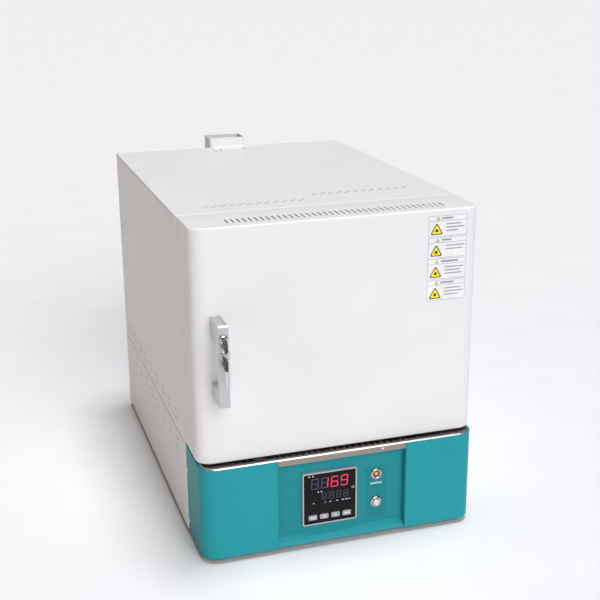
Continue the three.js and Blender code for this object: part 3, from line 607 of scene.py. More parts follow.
def add_side_panel(node_name, outward, rows):
    """A sheet with rows of short vents, each with a hood pressed inwards from its upper edge."""
    low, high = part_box(node_name)
    face = high.x if outward > 0 else low.x
    bm = bmesh.new()
    outline = folded(bm, low.yz, high.yz, 2.5 * MM, lambda depth: on_side(face - outward * depth))
    centres = [low.y + VENT_FIRST + VENT_LENGTH / 2 + i * VENT_PITCH for i in range(VENT_COLUMNS)]
    holes = [slot_hole((y, z), VENT_LENGTH, VENT_HEIGHT) for z in rows for y in centres]
    fill(bm, [outline] + holes, on_side(face))
    skin = outward * 0.2 * MM
    for z in rows:
        for y in centres:
            hood = []
            for i in range(5):
                a = math.radians(22 * i)
                half = VENT_LENGTH / 2 - 0.5 * MM * i
                depth = face - skin - outward * 5 * MM * math.sin(a)
                top = z + VENT_HEIGHT / 2 - 5 * MM * (1 - math.cos(a))
                hood.append([(depth, y - half, top), (depth, y + half, top)])
            loft(bm, hood, closed=False, caps=False)
    inside = (face - outward, (low.y + high.y) / 2, (low.z + high.z) / 2)
    finish_piece(f"{node_name}_sheet", bm, ["white_paint"], "cabinet", [node_name],
                 SHEET, 0.3 * MM, inside, smooth=False)


def add_side_panels():
    for side, outward in (("left", -1), ("right", 1)):
        upper, lower = f"side_panel_upper_{side}", f"side_panel_lower_{side}"
        add_side_panel(upper, outward, [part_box(upper)[0].z + rise for rise in UPPER_VENTS])
        add_side_panel(lower, outward, [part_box(lower)[1].z - drop for drop in LOWER_VENTS])


COVER_SLOTS = 12
COVER_SLOT_PITCH = 14.9 * MM
COVER_GROUPS = ((59 * MM, 44 * MM), (257 * MM, 80 * MM))  # from the cover's front left corner


def add_top_cover():
    low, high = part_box("top_cover")
    bm = bmesh.new()
    outline = folded(bm, low.xy, high.xy, SHEET, lambda depth: on_top(high.z - depth))
    holes = []
    for right, back in COVER_GROUPS:
        for i in range(COVER_SLOTS):
            centre = (low.x + right + i * COVER_SLOT_PITCH, low.y + back)
            holes.append(slot_hole(centre, 21 * MM, 2.6 * MM, 45))
    fill(bm, [outline] + holes, on_top(high.z))
    inside = (0, 0, low.z - 1)
    finish_piece("top_cover_sheet", bm, ["white_paint"], "cabinet", ["top_cover"],
                 SHEET, 0.3 * MM, inside, smooth=False)


def add_rear_panel():
    low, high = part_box("rear_panel")
    tube_low, tube_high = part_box("flue_tube")
    flue = ((tube_low.x + tube_high.x) / 2, (tube_low.z + tube_high.z) / 2)
    gland_low, gland_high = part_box("cable_gland")
    gland = ((gland_low.x + gland_high.x) / 2, (gland_low.z + gland_high.z) / 2)
    holes = [circle(flue, 14 * MM, 40), circle(gland, 8 * MM, 28)]
    centre = (low.x + high.x) / 2
    for column in range(5):
        for row in range(3):
            spot = (centre - (150 - 50 * column) * MM, (70 + 15 * row) * MM)
            holes.append(slot_hole(spot, 36 * MM, VENT_HEIGHT))
    outline = rounded((low.x, low.z), (high.x, high.z), 2 * MM)
    bm = bmesh.new()
    fill(bm, [outline] + holes, on_front(high.y))
    finish_piece("rear_panel_sheet", bm, ["white_paint"], "cabinet", ["rear_panel"],
                 SHEET, 0.4 * MM, (0, 0, 0.3), smooth=False)


# ---- control base ----
BASE_CORNER = 28 * MM
BEND = 2.2 * MM  # outer radius of the folds


def fillet(points, radius, steps=4):
    """An open path whose inner corners are rounded."""
    path = [Vector(points[0])]
    for before, corner, after in zip(points, points[1:], points[2:]):
        corner = Vector(corner)
        back, on = (Vector(before) - corner).normalized(), (Vector(after) - corner).normalized()
        half = back.angle(on) / 2
        reach = radius / math.tan(half)
        a, b = corner + back * reach, corner + on * reach
        middle = corner + (back + on).normalized() * (radius / math.sin(half))
        first = a - middle
        turn = first.angle_signed(b - middle)
        for i in range(steps + 1):
            path.append(middle + Matrix.Rotation(-turn * i / steps, 2) @ first)
    path.append(Vector(points[-1]))
    return [tuple(point) for point in path]


def add_wing(side, outward):
    """One bent sheet: a return into the recess, the front, the round corner and the side."""
    name = f"fascia_wing_{side}"
    low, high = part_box(name)
    outer, inner = (high.x, low.x) if outward > 0 else (low.x, high.x)
    front, back = low.y, high.y
    bm = bmesh.new()
    centre = (abs(outer) - BASE_CORNER, front + BASE_CORNER)
    plan = fillet([(abs(inner), front + 20 * MM), (abs(inner), front), (centre[0], front)], BEND)
    plan = plan[:-1] + arc(centre, BASE_CORNER, -90, 0, 18) + [(abs(outer), back)]
    plan = [(outward * x, y) for x, y in plan]
    loft(bm, [[(x, y, z) for x, y in plan] for z in (low.z, high.z)], False, False)
    inside = (outward * (abs(inner) + 20 * MM), back, (low.z + high.z) / 2)
    wall = finish_piece(f"{name}_sheet", bm, ["teal_paint"], "cabinet", [name],
                        SHEET, 0.5 * MM, inside)
    bm = bmesh.new()
    rim = front_corners(-abs(outer), abs(outer), front, 0.4 * MM, BASE_CORNER, 18)[19:]
    reach = 14 * MM
    fold = front_corners(-abs(outer), abs(outer), front, reach, BASE_CORNER, 18)[19:]
    loop = [(abs(inner) + SHEET, front + 0.4 * MM)] + rim + [(abs(outer) - 0.4 * MM, back)]
    loop += [(abs(outer) - reach, back)] + fold[::-1] + [(abs(inner) + SHEET, front + reach)]
    fill(bm, [[(outward * x, y) for x, y in loop]], on_top(high.z))
    finish_piece(f"{name}_rim", bm, ["teal_paint"], "cabinet", (),
                 SHEET, 0.4 * MM, (0, 0, -1))
    return wall


DECK_SLOTS = 33
DECK_SLOT_PITCH = 11 * MM
DECK_CORNER = 24 * MM
NOSE = 2.2 * MM  # radius of the shelf's front edge


def add_deck():
    """The stainless shelf under the door, with a folded lip over the control recess."""
    low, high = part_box("deck_plate")
    pad_low, pad_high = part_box("door_rest_pad")
    centre = (low.x + high.x) / 2
    holes = []
    for i in range(DECK_SLOTS):
        x = centre + (i - (DECK_SLOTS - 1) / 2) * DECK_SLOT_PITCH
        if not pad_low.x - 4 * MM < x < pad_high.x + 4 * MM:
            holes.append(slot_hole((x, low.y + 21.1 * MM), 27 * MM, 3.5 * MM, 90))
    bm = bmesh.new()
    rings = []
    for i in range(6):
        a = math.radians(18 * i)
        inset, z = NOSE * (1 - math.cos(a)), high.z - NOSE * (1 - math.sin(a))
        plan = front_corners(low.x, high.x, low.y, inset, DECK_CORNER, 16)
        outline = [(low.x + inset, high.y)] + plan + [(high.x - inset, high.y)]
        rings.append([(x, y, z) for x, y in outline])
    loft(bm, rings, False, False, 1)
    fill(bm, [outline] + holes, on_top(high.z))
    # The nose rings take the pale stainless copy, a painted highlight; the flat top takes the dark stainless, painted
    # shade.
    finish_piece("deck_sheet", bm, ["stainless", "stainless_nose_painted_highlight"], "cabinet", ["deck_plate"],
                 SHEET, 0.3 * MM, (0, 0, -1))
    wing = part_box("fascia_wing_right")[0].x - 0.3 * MM
    half = wing - centre
    bm = bmesh.new()
    drop = [(low.y + 0.02 * MM, high.z - NOSE), (low.y + 0.02 * MM, low.z)]
    loft(bm, [[(x, y, z) for y, z in drop] for x in (centre - half, centre + half)], False, False)
    # The lip takes its own copy of the stainless, a painted reflection.
    finish_piece("deck_lip", bm, ["stainless_lip_painted_reflection"], "cabinet", (),
                 SHEET, 0.4 * MM, (centre, low.y + 0.1, low.z))


def add_control_panel():
    """The recessed panel: a flat face with its cut-outs, and a sill bent forward at the bottom."""
    low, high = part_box("control_panel")
    case_low, case_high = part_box("controller_case")
    face = high.y - SHEET
    bend_z = low.z + 12.2 * MM
    holes = []
    middle = ((case_low.x + case_high.x) / 2, (case_low.z + case_high.z) / 2)
    open_half = 46 * MM
    holes.append(rounded([m - open_half for m in middle], [m + open_half for m in middle], 2 * MM))
    for lamp in ("alarm_bezel", "power_button_bezel"):
        lamp_low, lamp_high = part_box(lamp)
        holes.append(circle(((lamp_low.x + lamp_high.x) / 2, (lamp_low.z + lamp_high.z) / 2), 7 * MM))
    bm = bmesh.new()
    outline = [(low.x, bend_z), (high.x, bend_z), (high.x, high.z), (low.x, high.z)]
    fill(bm, [outline] + holes, on_front(face))
    sill = fillet([(face, bend_z), (face, bend_z - 2 * MM), (low.y, low.z + 1.5 * MM), (low.y + 0.2 * MM, low.z)],
                  1.5 * MM)
    loft(bm, [[(x, y, z) for y, z in sill] for x in (low.x, high.x)], False, False, 1)
    inside = (middle[0], face + 0.5, 0)
    # The face takes the darker teal copy, painted shade in the recess; the sill keeps the teal paint.
    finish_piece("control_panel_sheet", bm, ["teal_painted_shade", "teal_paint"], "cabinet", ["control_panel"],
                 SHEET, 0.4 * MM, inside)
    alarm_low, alarm_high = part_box("alarm_bezel")
    power_low, power_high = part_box("power_button_bezel")
    reach = 8.6 * MM
    low_corner = (power_low.x - reach, power_low.z - 17.1 * MM)
    high_corner = (power_high.x + reach, alarm_high.z + 3.1 * MM)
    bm = bmesh.new()
    plate = rounded(low_corner, high_corner, 2 * MM)
    prism(bm, plate, on_front(face), on_front(face - 0.25 * MM))
    finish_piece("lamp_plate", bm, ["teal_plate"], "cabinet", (), 0, 0.1 * MM)


# ---- controller ----
CASE_CORNER = 3 * MM
RIM = 2.5 * MM  # the controller's silver rim
DIGIT_SLANT = math.tan(math.radians(4))
SEGMENTS = {"a": "top", "d": "bottom", "g": "middle", "f": "top left", "b": "top right",
            "e": "bottom left", "c": "bottom right"}
LIT_FOR = {"1": "bc", "6": "afgedc", "9": "abgfcd", " ": ""}


def segment_outline(letter, width, height, stroke):
    """One bar of a seven-segment figure, centred on the figure's middle."""
    half_w, half_h, gap = width / 2 - stroke / 2, height / 2 - stroke / 2, stroke * 0.08
    level = {"a": half_h, "g": 0.0, "d": -half_h}
    tip = stroke / 2
    if letter in level:
        z = level[letter]
        reach = half_w - gap
        return [(-reach, z), (-reach + tip, z + tip), (reach - tip, z + tip), (reach, z),
                (reach - tip, z - tip), (-reach + tip, z - tip)]
    x = half_w if letter in "bc" else -half_w
    z0, z1 = (gap, half_h - gap) if letter in "fb" else (-half_h + gap, -gap)
    return [(x, z0), (x + tip, z0 + tip), (x + tip, z1 - tip), (x, z1), (x - tip, z1 - tip), (x - tip, z0 + tip)]


def figure(bm, centre, width, height, stroke, lit, face, lit_index, dark_index):
    for letter in SEGMENTS:
        outline = segment_outline(letter, width, height, stroke)
        outline = [(centre[0] + u + v * DIGIT_SLANT, centre[1] + v) for u, v in outline]
        index = lit_index if letter in lit else dark_index
        prism(bm, outline, on_front(face + 0.05 * MM), on_front(face - 0.10 * MM), index)


def add_controller():
    low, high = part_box("controller_case")
    panel_low, panel_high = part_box("control_panel")
    panel = panel_high.y - SHEET
    half = (high.x - low.x) / 2
    middle = ((low.x + high.x) / 2, (low.z + high.z) / 2)

    def square(reach, corner):
        return rounded([m - reach for m in middle], [m + reach for m in middle], corner, 4)

    bm = bmesh.new()
    levels = [(half - 2.6 * MM, high.y, 2), (half - 2.6 * MM, panel + 0.3 * MM, 2), (half, panel - 0.3 * MM, 3),
              (half, low.y + 0.9 * MM, 3), (half - 0.25 * MM, low.y + 0.35 * MM, 3), (half - 0.7 * MM, low.y, 2.4),
              (half - RIM + 0.4 * MM, low.y, 1.6), (half - RIM, low.y + 0.4 * MM, 1.2),
              (half - RIM, low.y + 3 * MM, 1.2)]
    loft(bm, [[(x, y, z) for x, z in square(reach, corner * MM)] for reach, y, corner in levels])
    finish_piece("controller_body", bm, ["silver_plastic"], "cabinet", ["controller_case"])

    face_low, face_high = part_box("controller_face")
    face = face_low.y
    reach = half - RIM - 0.1 * MM
    holes = []
    for key in CONTROLLER_KEYS:
        key_low, key_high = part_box(f"controller_key_{key}")
        clear = 0.4 * MM
        holes.append(rounded((key_low.x - clear, key_low.z - clear), (key_high.x + clear, key_high.z + clear),
                             1.6 * MM, 4))
    bm = bmesh.new()
    fill(bm, [square(reach, 1.1 * MM)] + holes, on_front(face))
    finish_piece("controller_front", bm, ["display_face"], "cabinet", ["controller_face"],
                 1.2 * MM, 0.15 * MM, (middle[0], 1, middle[1]))
    bm = bmesh.new()
    back = rounded([m - reach for m in middle], [m + reach for m in middle], 1 * MM, 3)
    prism(bm, back, on_front(face + 2.0 * MM), on_front(face + 2.35 * MM))
    finish_piece("controller_key_bed", bm, ["black_plastic"], "cabinet", (), 0, 0.1 * MM)
    add_display(middle, half, face)


CONTROLLER_KEYS = ("set", "down", "up", "enter")


def add_display(middle, half, face):
    """Figures and small marks on the front; u and v are measured from its upper left corner."""
    def at(u, v):
        return (middle[0] - half + u * MM, middle[1] + half - v * MM)

    bm = bmesh.new()
    for i, sign in enumerate("8169"):
        lit = LIT_FOR.get(sign, "") if i else ""
        figure(bm, at(21.7 + 17.3 * i, 20.5), 12.8 * MM, 19.5 * MM, 1.75 * MM, lit, face, 0, 1)
    for i in range(4):
        figure(bm, at(38.2 + 12.7 * i, 45.2), 8.6 * MM, 13.0 * MM, 1.4 * MM, "", face, 0, 2)
    for i in range(3):
        dot = circle(at(30.3 + 17.3 * i, 30.0), 0.9 * MM, 12)
        prism(bm, dot, on_front(face + 0.05 * MM), on_front(face - 0.10 * MM), 1)
    finish_piece("controller_figures", bm, ["lit_segment", "unlit_segment", "unlit_green_segment"], "cabinet")

    bm = bmesh.new()
    marks = [(12.0, 6.0, 2.4, 2.2), (18.5, 6.0, 2.4, 2.2), (27.6, 36.0, 2.2, 2.2), (33.0, 36.0, 2.2, 2.2)]
    marks += [(19.5, 56.0, 2.4, 1.4), (40.2, 56.5, 2.0, 1.3), (48.9, 56.5, 3.6, 1.3), (60.9, 56.5, 3.6, 1.3)]
    marks += [(71.0, 56.5, 4.4, 1.3), (77.5, 56.5, 4.4, 1.3), (83.0, 56.5, 3.0, 1.3)]
    for u, v, width, height in marks:
        (x, z), w, h = at(u, v), width / 2 * MM, height / 2 * MM
        bar = rounded((x - w, z - h), (x + w, z + h), 0.4 * MM, 2)
        prism(bm, bar, on_front(face + 0.05 * MM), on_front(face - 0.08 * MM))
    x, z = at(87.0, 35.6)
    lathe(bm, (x, face, z), (0, -1, 0), [(0.7 * MM, -0.05 * MM), (1.1 * MM, -0.05 * MM), (1.1 * MM, 0.08 * MM),
                                         (0.7 * MM, 0.08 * MM), (0.7 * MM, -0.05 * MM)], 16)
    half_ring = arc((x + 3.4 * MM, z - 0.6 * MM), 1.9 * MM, 50, 310, 10)
    half_ring += arc((x + 3.4 * MM, z - 0.6 * MM), 1.3 * MM, 310, 50, 10)
    prism(bm, half_ring, on_front(face + 0.05 * MM), on_front(face - 0.08 * MM))
    finish_piece("controller_marks", bm, ["legend_ink"], "cabinet")


def add_controller_keys():
    """Soft grey keys with a raised middle; two carry arrows and two carry plain bars."""
    arrow = {"down": -1, "up": 1}
    for key in CONTROLLER_KEYS:
        name = f"controller_key_{key}"
        low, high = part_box(name)
        (x, z), front, back = ((low.x + high.x) / 2, (low.z + high.z) / 2), low.y, high.y
        half_w, half_h = (high.x - low.x) / 2, (high.z - low.z) / 2
        bm = bmesh.new()
        crown = 0.12 * MM
        levels = [(0, back, 1.5), (0, front + crown + 0.5 * MM, 1.5), (0.2, front + crown + 0.15 * MM, 1.4),
                  (0.7, front + crown, 1.2)]
        rings = []
        for inset, y, corner in levels:
            w, h = half_w - inset * MM, half_h - inset * MM
            outline = rounded((x - w, z - h), (x + w, z + h), corner * MM, 5)
            rings.append([(u, y, v) for u, v in outline])
        loft(bm, rings)
        if key in arrow:
            up = arrow[key]
            sign = [(x - 2.1 * MM, z - up * 1.5 * MM), (x + 2.1 * MM, z - up * 1.5 * MM), (x, z + up * 1.9 * MM)]
            prism(bm, sign, on_front(front + crown + 0.05 * MM), on_front(front + 0.02 * MM), 1)
        else:
            for shift in (-2.8, 0.0, 2.8):
                bar = rounded((x + (shift - 0.9) * MM, z - 1.2 * MM), (x + (shift + 0.9) * MM, z + 1.2 * MM), 0.3 * MM, 2)
                prism(bm, bar, on_front(front + crown + 0.05 * MM), on_front(front + 0.02 * MM), 1)
        finish_piece(f"{name}_cap", bm, ["key_plastic", "key_ink"], name, [name])


def add_lamps():
    """The alarm lamp and the power button: chrome bezels with lenses in them."""
    low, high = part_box("alarm_bezel")
    x, z, seat = (low.x + high.x) / 2, (low.z + high.z) / 2, high.y
    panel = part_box("control_panel")[1].y - SHEET
    radius = (high.x - low.x) / 2
    centre = (x, panel, z)
    bezel = [(6.5, -21), (6.5, -0.3), (10.4, 0.0), (10.4, 1.1), (10.1, 1.9), (9.4, 2.6), (8.5, 2.95), (7.4, 3.0),
             (6.4, 2.6), (5.7, 1.8), (5.2, 0.8), (5.0, 0.2), (5.0, -8), (4.6, -9), (4.6, -21), (6.5, -21)]
    bm = bmesh.new()
    lathe(bm, centre, (0, -1, 0), [(r * MM, h * MM) for r, h in bezel], 40)
    finish_piece("alarm_ring", bm, ["bezel_steel"], "cabinet", ["alarm_bezel"])
    bm = bmesh.new()
    red = [(4.9, -6), (4.9, 0.5), (4.6, 1.2), (3.9, 1.7), (3.3, 1.75), (3.0, 1.5), (2.8, 0.9)]
    lathe(bm, centre, (0, -1, 0), [(r * MM, h * MM) for r, h in red], 32)
    dome = [(2.7 * math.cos(math.radians(15 * i)), 0.9 + 1.2 * math.sin(math.radians(15 * i))) for i in range(6)]
    lathe(bm, centre, (0, -1, 0), [(2.7 * MM, 0.0)] + [(r * MM, h * MM) for r, h in dome], 24, 1)
    finish_piece("alarm_lamp", bm, ["alarm_lens", "pilot"], "cabinet", ["alarm_lens"])

    low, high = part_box("power_button_bezel")
    centre = ((low.x + high.x) / 2, panel, (low.z + high.z) / 2)
    collar = [(6.5, -21), (6.5, -0.3), (10.4, 0.0), (10.4, 1.0), (10.0, 2.0), (9.0, 2.8), (7.8, 3.0), (6.7, 2.9),
              (6.1, 2.5), (6.0, 1.8), (6.0, -8), (5.4, -9), (5.4, -21), (6.5, -21)]
    bm = bmesh.new()
    lathe(bm, centre, (0, -1, 0), [(r * MM, h * MM) for r, h in collar], 40)
    finish_piece("power_ring", bm, ["bezel_steel"], "cabinet", ["power_button_bezel"])
    bm = bmesh.new()
    cap = [(5.7, -4), (5.7, 3.3), (5.4, 3.9), (4.8, 4.15), (4.2, 4.2), (3.9, 4.05)]
    lathe(bm, centre, (0, -1, 0), [(r * MM, h * MM) for r, h in cap], 36)
    eye = [(3.8 * math.cos(math.radians(15 * i)), 3.75 + 0.35 * math.sin(math.radians(15 * i))) for i in range(6)]
    lathe(bm, centre, (0, -1, 0), [(3.8 * MM, 3.0 * MM)] + [(r * MM, h * MM) for r, h in eye], 32, 1)
    finish_piece("power_button", bm, ["button_metal", "button_lens"], "power_button", ["power_button_cap"])

    bm = bmesh.new()
    alarm_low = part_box("alarm_bezel")[0].z
    for i in range(5):
        u = centre[0] + (i - 2) * 4.2 * MM
        bar = rounded((u - 1.4 * MM, alarm_low - 8.6 * MM), (u + 1.4 * MM, alarm_low - 5.4 * MM), 0.5 * MM, 2)
        prism(bm, bar, on_front(panel - 0.2 * MM), on_front(panel - 0.32 * MM))
    finish_piece("lamp_legend", bm, ["legend_ink"], "cabinet")


# ---- handle, lock and keys ----
def cut_with(piece, cutter_mesh):
    """Subtracts a closed mesh from a piece, once and for all."""
    cutter = bpy.data.objects.new("cutter", cutter_mesh)
    bpy.context.scene.collection.objects.link(cutter)
    saw = piece.modifiers.new("cut", "BOOLEAN")
    saw.operation = "DIFFERENCE"
    saw.solver = "EXACT"
    saw.object = cutter
    while piece.modifiers[0] != saw:
        index = list(piece.modifiers).index(saw)
        piece.modifiers.move(index, index - 1)
    for modifier in piece.modifiers:
        modifier.show_viewport = modifier == saw
    graph = bpy.context.evaluated_depsgraph_get()
    cut_mesh = bpy.data.meshes.new_from_object(piece.evaluated_get(graph))
    piece.modifiers.remove(saw)
    for modifier in piece.modifiers:
        modifier.show_viewport = True
    piece.data = cut_mesh
    bpy.data.objects.remove(cutter)


def mesh_of(build):
    bm = bmesh.new()
    build(bm)
    bmesh.ops.recalc_face_normals(bm, faces=bm.faces)
    mesh = bpy.data.meshes.new("cutter")
    bm.to_mesh(mesh)
    bm.free()
    return mesh


def soft_outline(points, radii, steps=4):
    """A closed outline whose corners are rounded by the radii given for them."""
    out = []
    count = len(points)
    for i, (corner, radius) in enumerate(zip(points, radii)):
        before, after = points[i - 1], points[(i + 1) % count]
        out += fillet([before, corner, after], radius, steps)[1:-1] if radius else [corner]
    return out


def add_handle():
    """A square aluminium bar on two legs, machined from one piece, with the lock in its front."""
    low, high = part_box("handle")
    front, wall = low.y, high.y
    back = front + 14 * MM
    top_leg, low_leg = high.z - 33 * MM, low.z + 25 * MM
    points = [(front, high.z - 2.2 * MM), (front, low.z), (wall, low.z), (wall, low_leg), (back, low_leg),
              (back, top_leg), (wall, top_leg), (wall, high.z), (front + 2.2 * MM, high.z)]
    radii = [1.5, 1.8, 0, 0.8, 1.5, 1.5, 0.8, 0, 1.5]
    outline = soft_outline(points, [r * MM for r in radii])
    bm = bmesh.new()
    prism(bm, outline, on_side(low.x), on_side(high.x))
    bar = finish_piece("handle_bar", bm, ["aluminium"], "door", ["handle"],
                       0, 0.9 * MM)
    x = (low.x + high.x) / 2
    lock_low, lock_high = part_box("lock_barrel")
    lock_z = (lock_low.z + lock_high.z) / 2

    def seat(bm):
        lathe(bm, (x, front - 2 * MM, lock_z), (0, 1, 0), [(6.9 * MM, 0), (6.9 * MM, 10 * MM)], 40)

    def spindle_way(bm):
        lathe(bm, (x, front - 2 * MM, lock_z), (0, 1, 0), [(4.1 * MM, 0), (4.1 * MM, wall - front + 4 * MM)], 24)

    def groove(bm):
        block(bm, (x - 4.6 * MM, front + 6 * MM, high.z - 1.4 * MM), (x + 4.6 * MM, wall + 1 * MM, high.z + 1 * MM))

    for shape in (seat, spindle_way, groove):
        cut_with(bar, mesh_of(shape))
    for polygon in bar.data.polygons:
        polygon.use_smooth = True


def add_lock():
    low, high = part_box("lock_barrel")
    centre = ((low.x + high.x) / 2, low.y, (low.z + high.z) / 2)
    barrel = [(4.1, 9.6), (6.6, 9.6), (6.6, 1.2), (6.3, 0.5), (5.7, 0.1), (5.1, 0.0), (4.7, 0.3), (4.1, 0.9),
              (4.1, 9.6)]
    bm = bmesh.new()
    lathe(bm, centre, (0, 1, 0), [(r * MM, h * MM) for r, h in barrel], 40)
    finish_piece("lock_cylinder", bm, ["chrome"], "door", ["lock_barrel"])

    low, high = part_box("lock_spindle_and_cam")
    x, z = centre[0], centre[2]
    cam_y = high.y - 3 * MM
    bm = bmesh.new()
    plug = [(3.5 * MM, cam_y - low.y + 0.5 * MM), (3.5 * MM, 0.6 * MM), (3.2 * MM, 0.15 * MM), (2.8 * MM, 0)]
    lathe(bm, (x, low.y, z), (0, 1, 0), plug, 28)
    cam = soft_outline([(x - 4 * MM, low.z), (x + 4 * MM, low.z), (x + 4 * MM, z + 5 * MM), (x - 4 * MM, z + 5 * MM)],
                       [3.9 * MM, 3.9 * MM, 1 * MM, 1 * MM], 6)
    prism(bm, cam, on_front(cam_y), on_front(high.y))
    finish_piece("lock_plug_and_cam", bm, ["chrome"], "lock", ["lock_spindle_and_cam"], 0, 0.25 * MM)


def key_head(name, outline, radii, hole, body, node_name):
    """A moulded key head in the y-z plane with an eye for the ring."""
    low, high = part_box(node_name)
    outline = soft_outline(outline, radii, 6)
    eye = circle(hole, 1.9 * MM, 24)
    bm = bmesh.new()
    fill(bm, [outline, eye], on_side(low.x))
    return finish_piece(name, bm, ["black_plastic"], body, [node_name], high.x - low.x,
                        0.7 * MM, (high.x + 1, hole[0], hole[1]))


def add_keys():
    low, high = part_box("lock_key")
    ring_low, ring_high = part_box("key_ring")
    eye = ((ring_low.y + ring_high.y) / 2, ring_high.z - 0.8 * MM)
    neck, lock_z = high.y, high.z - 4 * MM
    outline = [(neck, lock_z - 3 * MM), (neck, high.z), (low.y + 5 * MM, high.z), (low.y, lock_z - 2 * MM),
               (low.y, eye[1] + 2 * MM), (low.y + 5 * MM, low.z), (low.y + 11 * MM, low.z),
               (low.y + 14 * MM, eye[1] + 2 * MM), (low.y + 14 * MM, lock_z - 5 * MM)]
    radii = [0.6, 1.2, 3.0, 3.0, 3.0, 2.6, 2.6, 2.0, 1.0]
    key_head("lock_key_head", outline, [r * MM for r in radii], (eye[0], eye[1]), "lock", "lock_key")

    low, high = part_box("spare_key_head")
    spare_eye = ((low.y + high.y) / 2, high.z - 3.5 * MM)
    y0, y1 = low.y, high.y
    outline = [(y0 + 3 * MM, high.z), (y0, high.z - 4 * MM), (y0, low.z + 3 * MM), (y0 + 3 * MM, low.z),
               (y1 - 3 * MM, low.z), (y1, low.z + 3 * MM), (y1, high.z - 4 * MM), (y1 - 3 * MM, high.z)]
    radii = [3.0, 3.0, 2.0, 2.0, 2.0, 2.0, 3.0, 3.0]
    key_head("spare_key_bow", outline, [r * MM for r in radii], spare_eye, "key_ring", "spare_key_head")

    low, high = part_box("spare_key_blade")
    y0, y1 = low.y, high.y
    cuts = (1.4, 0.6, 1.9, 1.0, 0.4, 1.6)
    tooth = 3.4 * MM
    blade = [(y0, high.z), (y0, low.z + 1.5 * MM), (y0 + 1.6 * MM, low.z), (y1 - 2.4 * MM, low.z)]
    z = low.z + 1.6 * MM
    for depth in cuts:
        blade += [(y1 - depth * MM, z + 0.6 * MM), (y1 - depth * MM, z + 1.6 * MM), (y1 - 0.2 * MM, z + tooth - 0.9 * MM)]
        z += tooth
    blade += [(y1, z + 1.0 * MM), (y1, high.z)]
    bm = bmesh.new()
    prism(bm, blade, on_side(low.x), on_side(high.x))
    finish_piece("spare_key_blank", bm, ["chrome"], "key_ring", ["spare_key_blade"], 0, 0.15 * MM)

    wire, turns, steps = 0.42 * MM, 2, 60
    centre = ((ring_low.x + ring_high.x) / 2, (ring_low.y + ring_high.y) / 2, (ring_low.z + ring_high.z) / 2)
    radius = (ring_high.z - ring_low.z) / 2 - 0.8 * MM
    path = []
    for i in range(turns * steps + 1):
        a = 2 * math.pi * i / steps + math.radians(70)
        shift = (i / (turns * steps) - 0.5) * 0.9 * MM
        path.append((centre[0] + radius * math.cos(a), centre[1] + shift, centre[2] + radius * math.sin(a)))
    bm = bmesh.new()
    tube(bm, path, wire, 8)
    finish_piece("split_ring", bm, ["chrome"], "key_ring", ["key_ring"])


# ---- flue ----
def add_flue():
    """A folded duct with an open top, behind the rear panel, held by a tab on the cover."""
    low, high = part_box("flue_duct")
    panel_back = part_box("rear_panel")[1].y + 0.3 * MM
    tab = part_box("top_cover")[1].z + 0.3 * MM

    def ring(inset, z, corner=3 * MM):
        outline = rounded((low.x + inset, panel_back + inset), (high.x - inset, high.y - inset), corner - inset, 5)
        return [(x, y, z) for x, y in outline]

    bm = bmesh.new()
    wall = SHEET
    rings = [ring(0, low.z), ring(0, high.z - 0.5 * MM), ring(0.25 * MM, high.z - 0.1 * MM),
             ring(0.75 * MM, high.z), ring(wall - 0.25 * MM, high.z - 0.1 * MM), ring(wall, high.z - 0.5 * MM),
             ring(wall, low.z + wall)]
    loft(bm, rings)
    duct = finish_piece("flue_duct_shell", bm, ["white_paint"], "cabinet", ["flue_duct"], 0, 0.4 * MM)
    tube_low, tube_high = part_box("flue_tube")
    centre = ((tube_low.x + tube_high.x) / 2, panel_back - 2 * MM, (tube_low.z + tube_high.z) / 2)
    cut_with(duct, mesh_of(lambda bm: lathe(bm, centre, (0, 1, 0), [(13.6 * MM, 0), (13.6 * MM, 5 * MM)], 40)))
    for polygon in duct.data.polygons:
        polygon.use_smooth = True
    bm = bmesh.new()
    outline = rounded((low.x, low.y), (high.x, panel_back + 0.2 * MM), 3 * MM)
    prism(bm, outline, on_top(tab), on_top(tab + 0.8 * MM))
    finish_piece("flue_tab", bm, ["white_paint"], "cabinet", (), 0, 0.3 * MM)

    bm = bmesh.new()
    tube_profile = [(10.0, 0.0), (12.6, 0.0), (13.0, 0.4), (13.0, 269.6), (12.6, 270.0), (10.4, 270.0), (10.0, 269.6),
                    (10.0, 0.0)]
    scale = (tube_high.y - tube_low.y) / 270
    profile = [(r * MM, h * scale) for r, h in tube_profile]
    lathe(bm, (centre[0], tube_low.y, centre[2]), (0, 1, 0), profile, 40)
    finish_piece("flue_pipe", bm, ["ceramic"], "cabinet", ["flue_tube"])


# ---- inside the chamber ----
COIL_RUNS = 5
COIL_TURN = 3.6 * MM


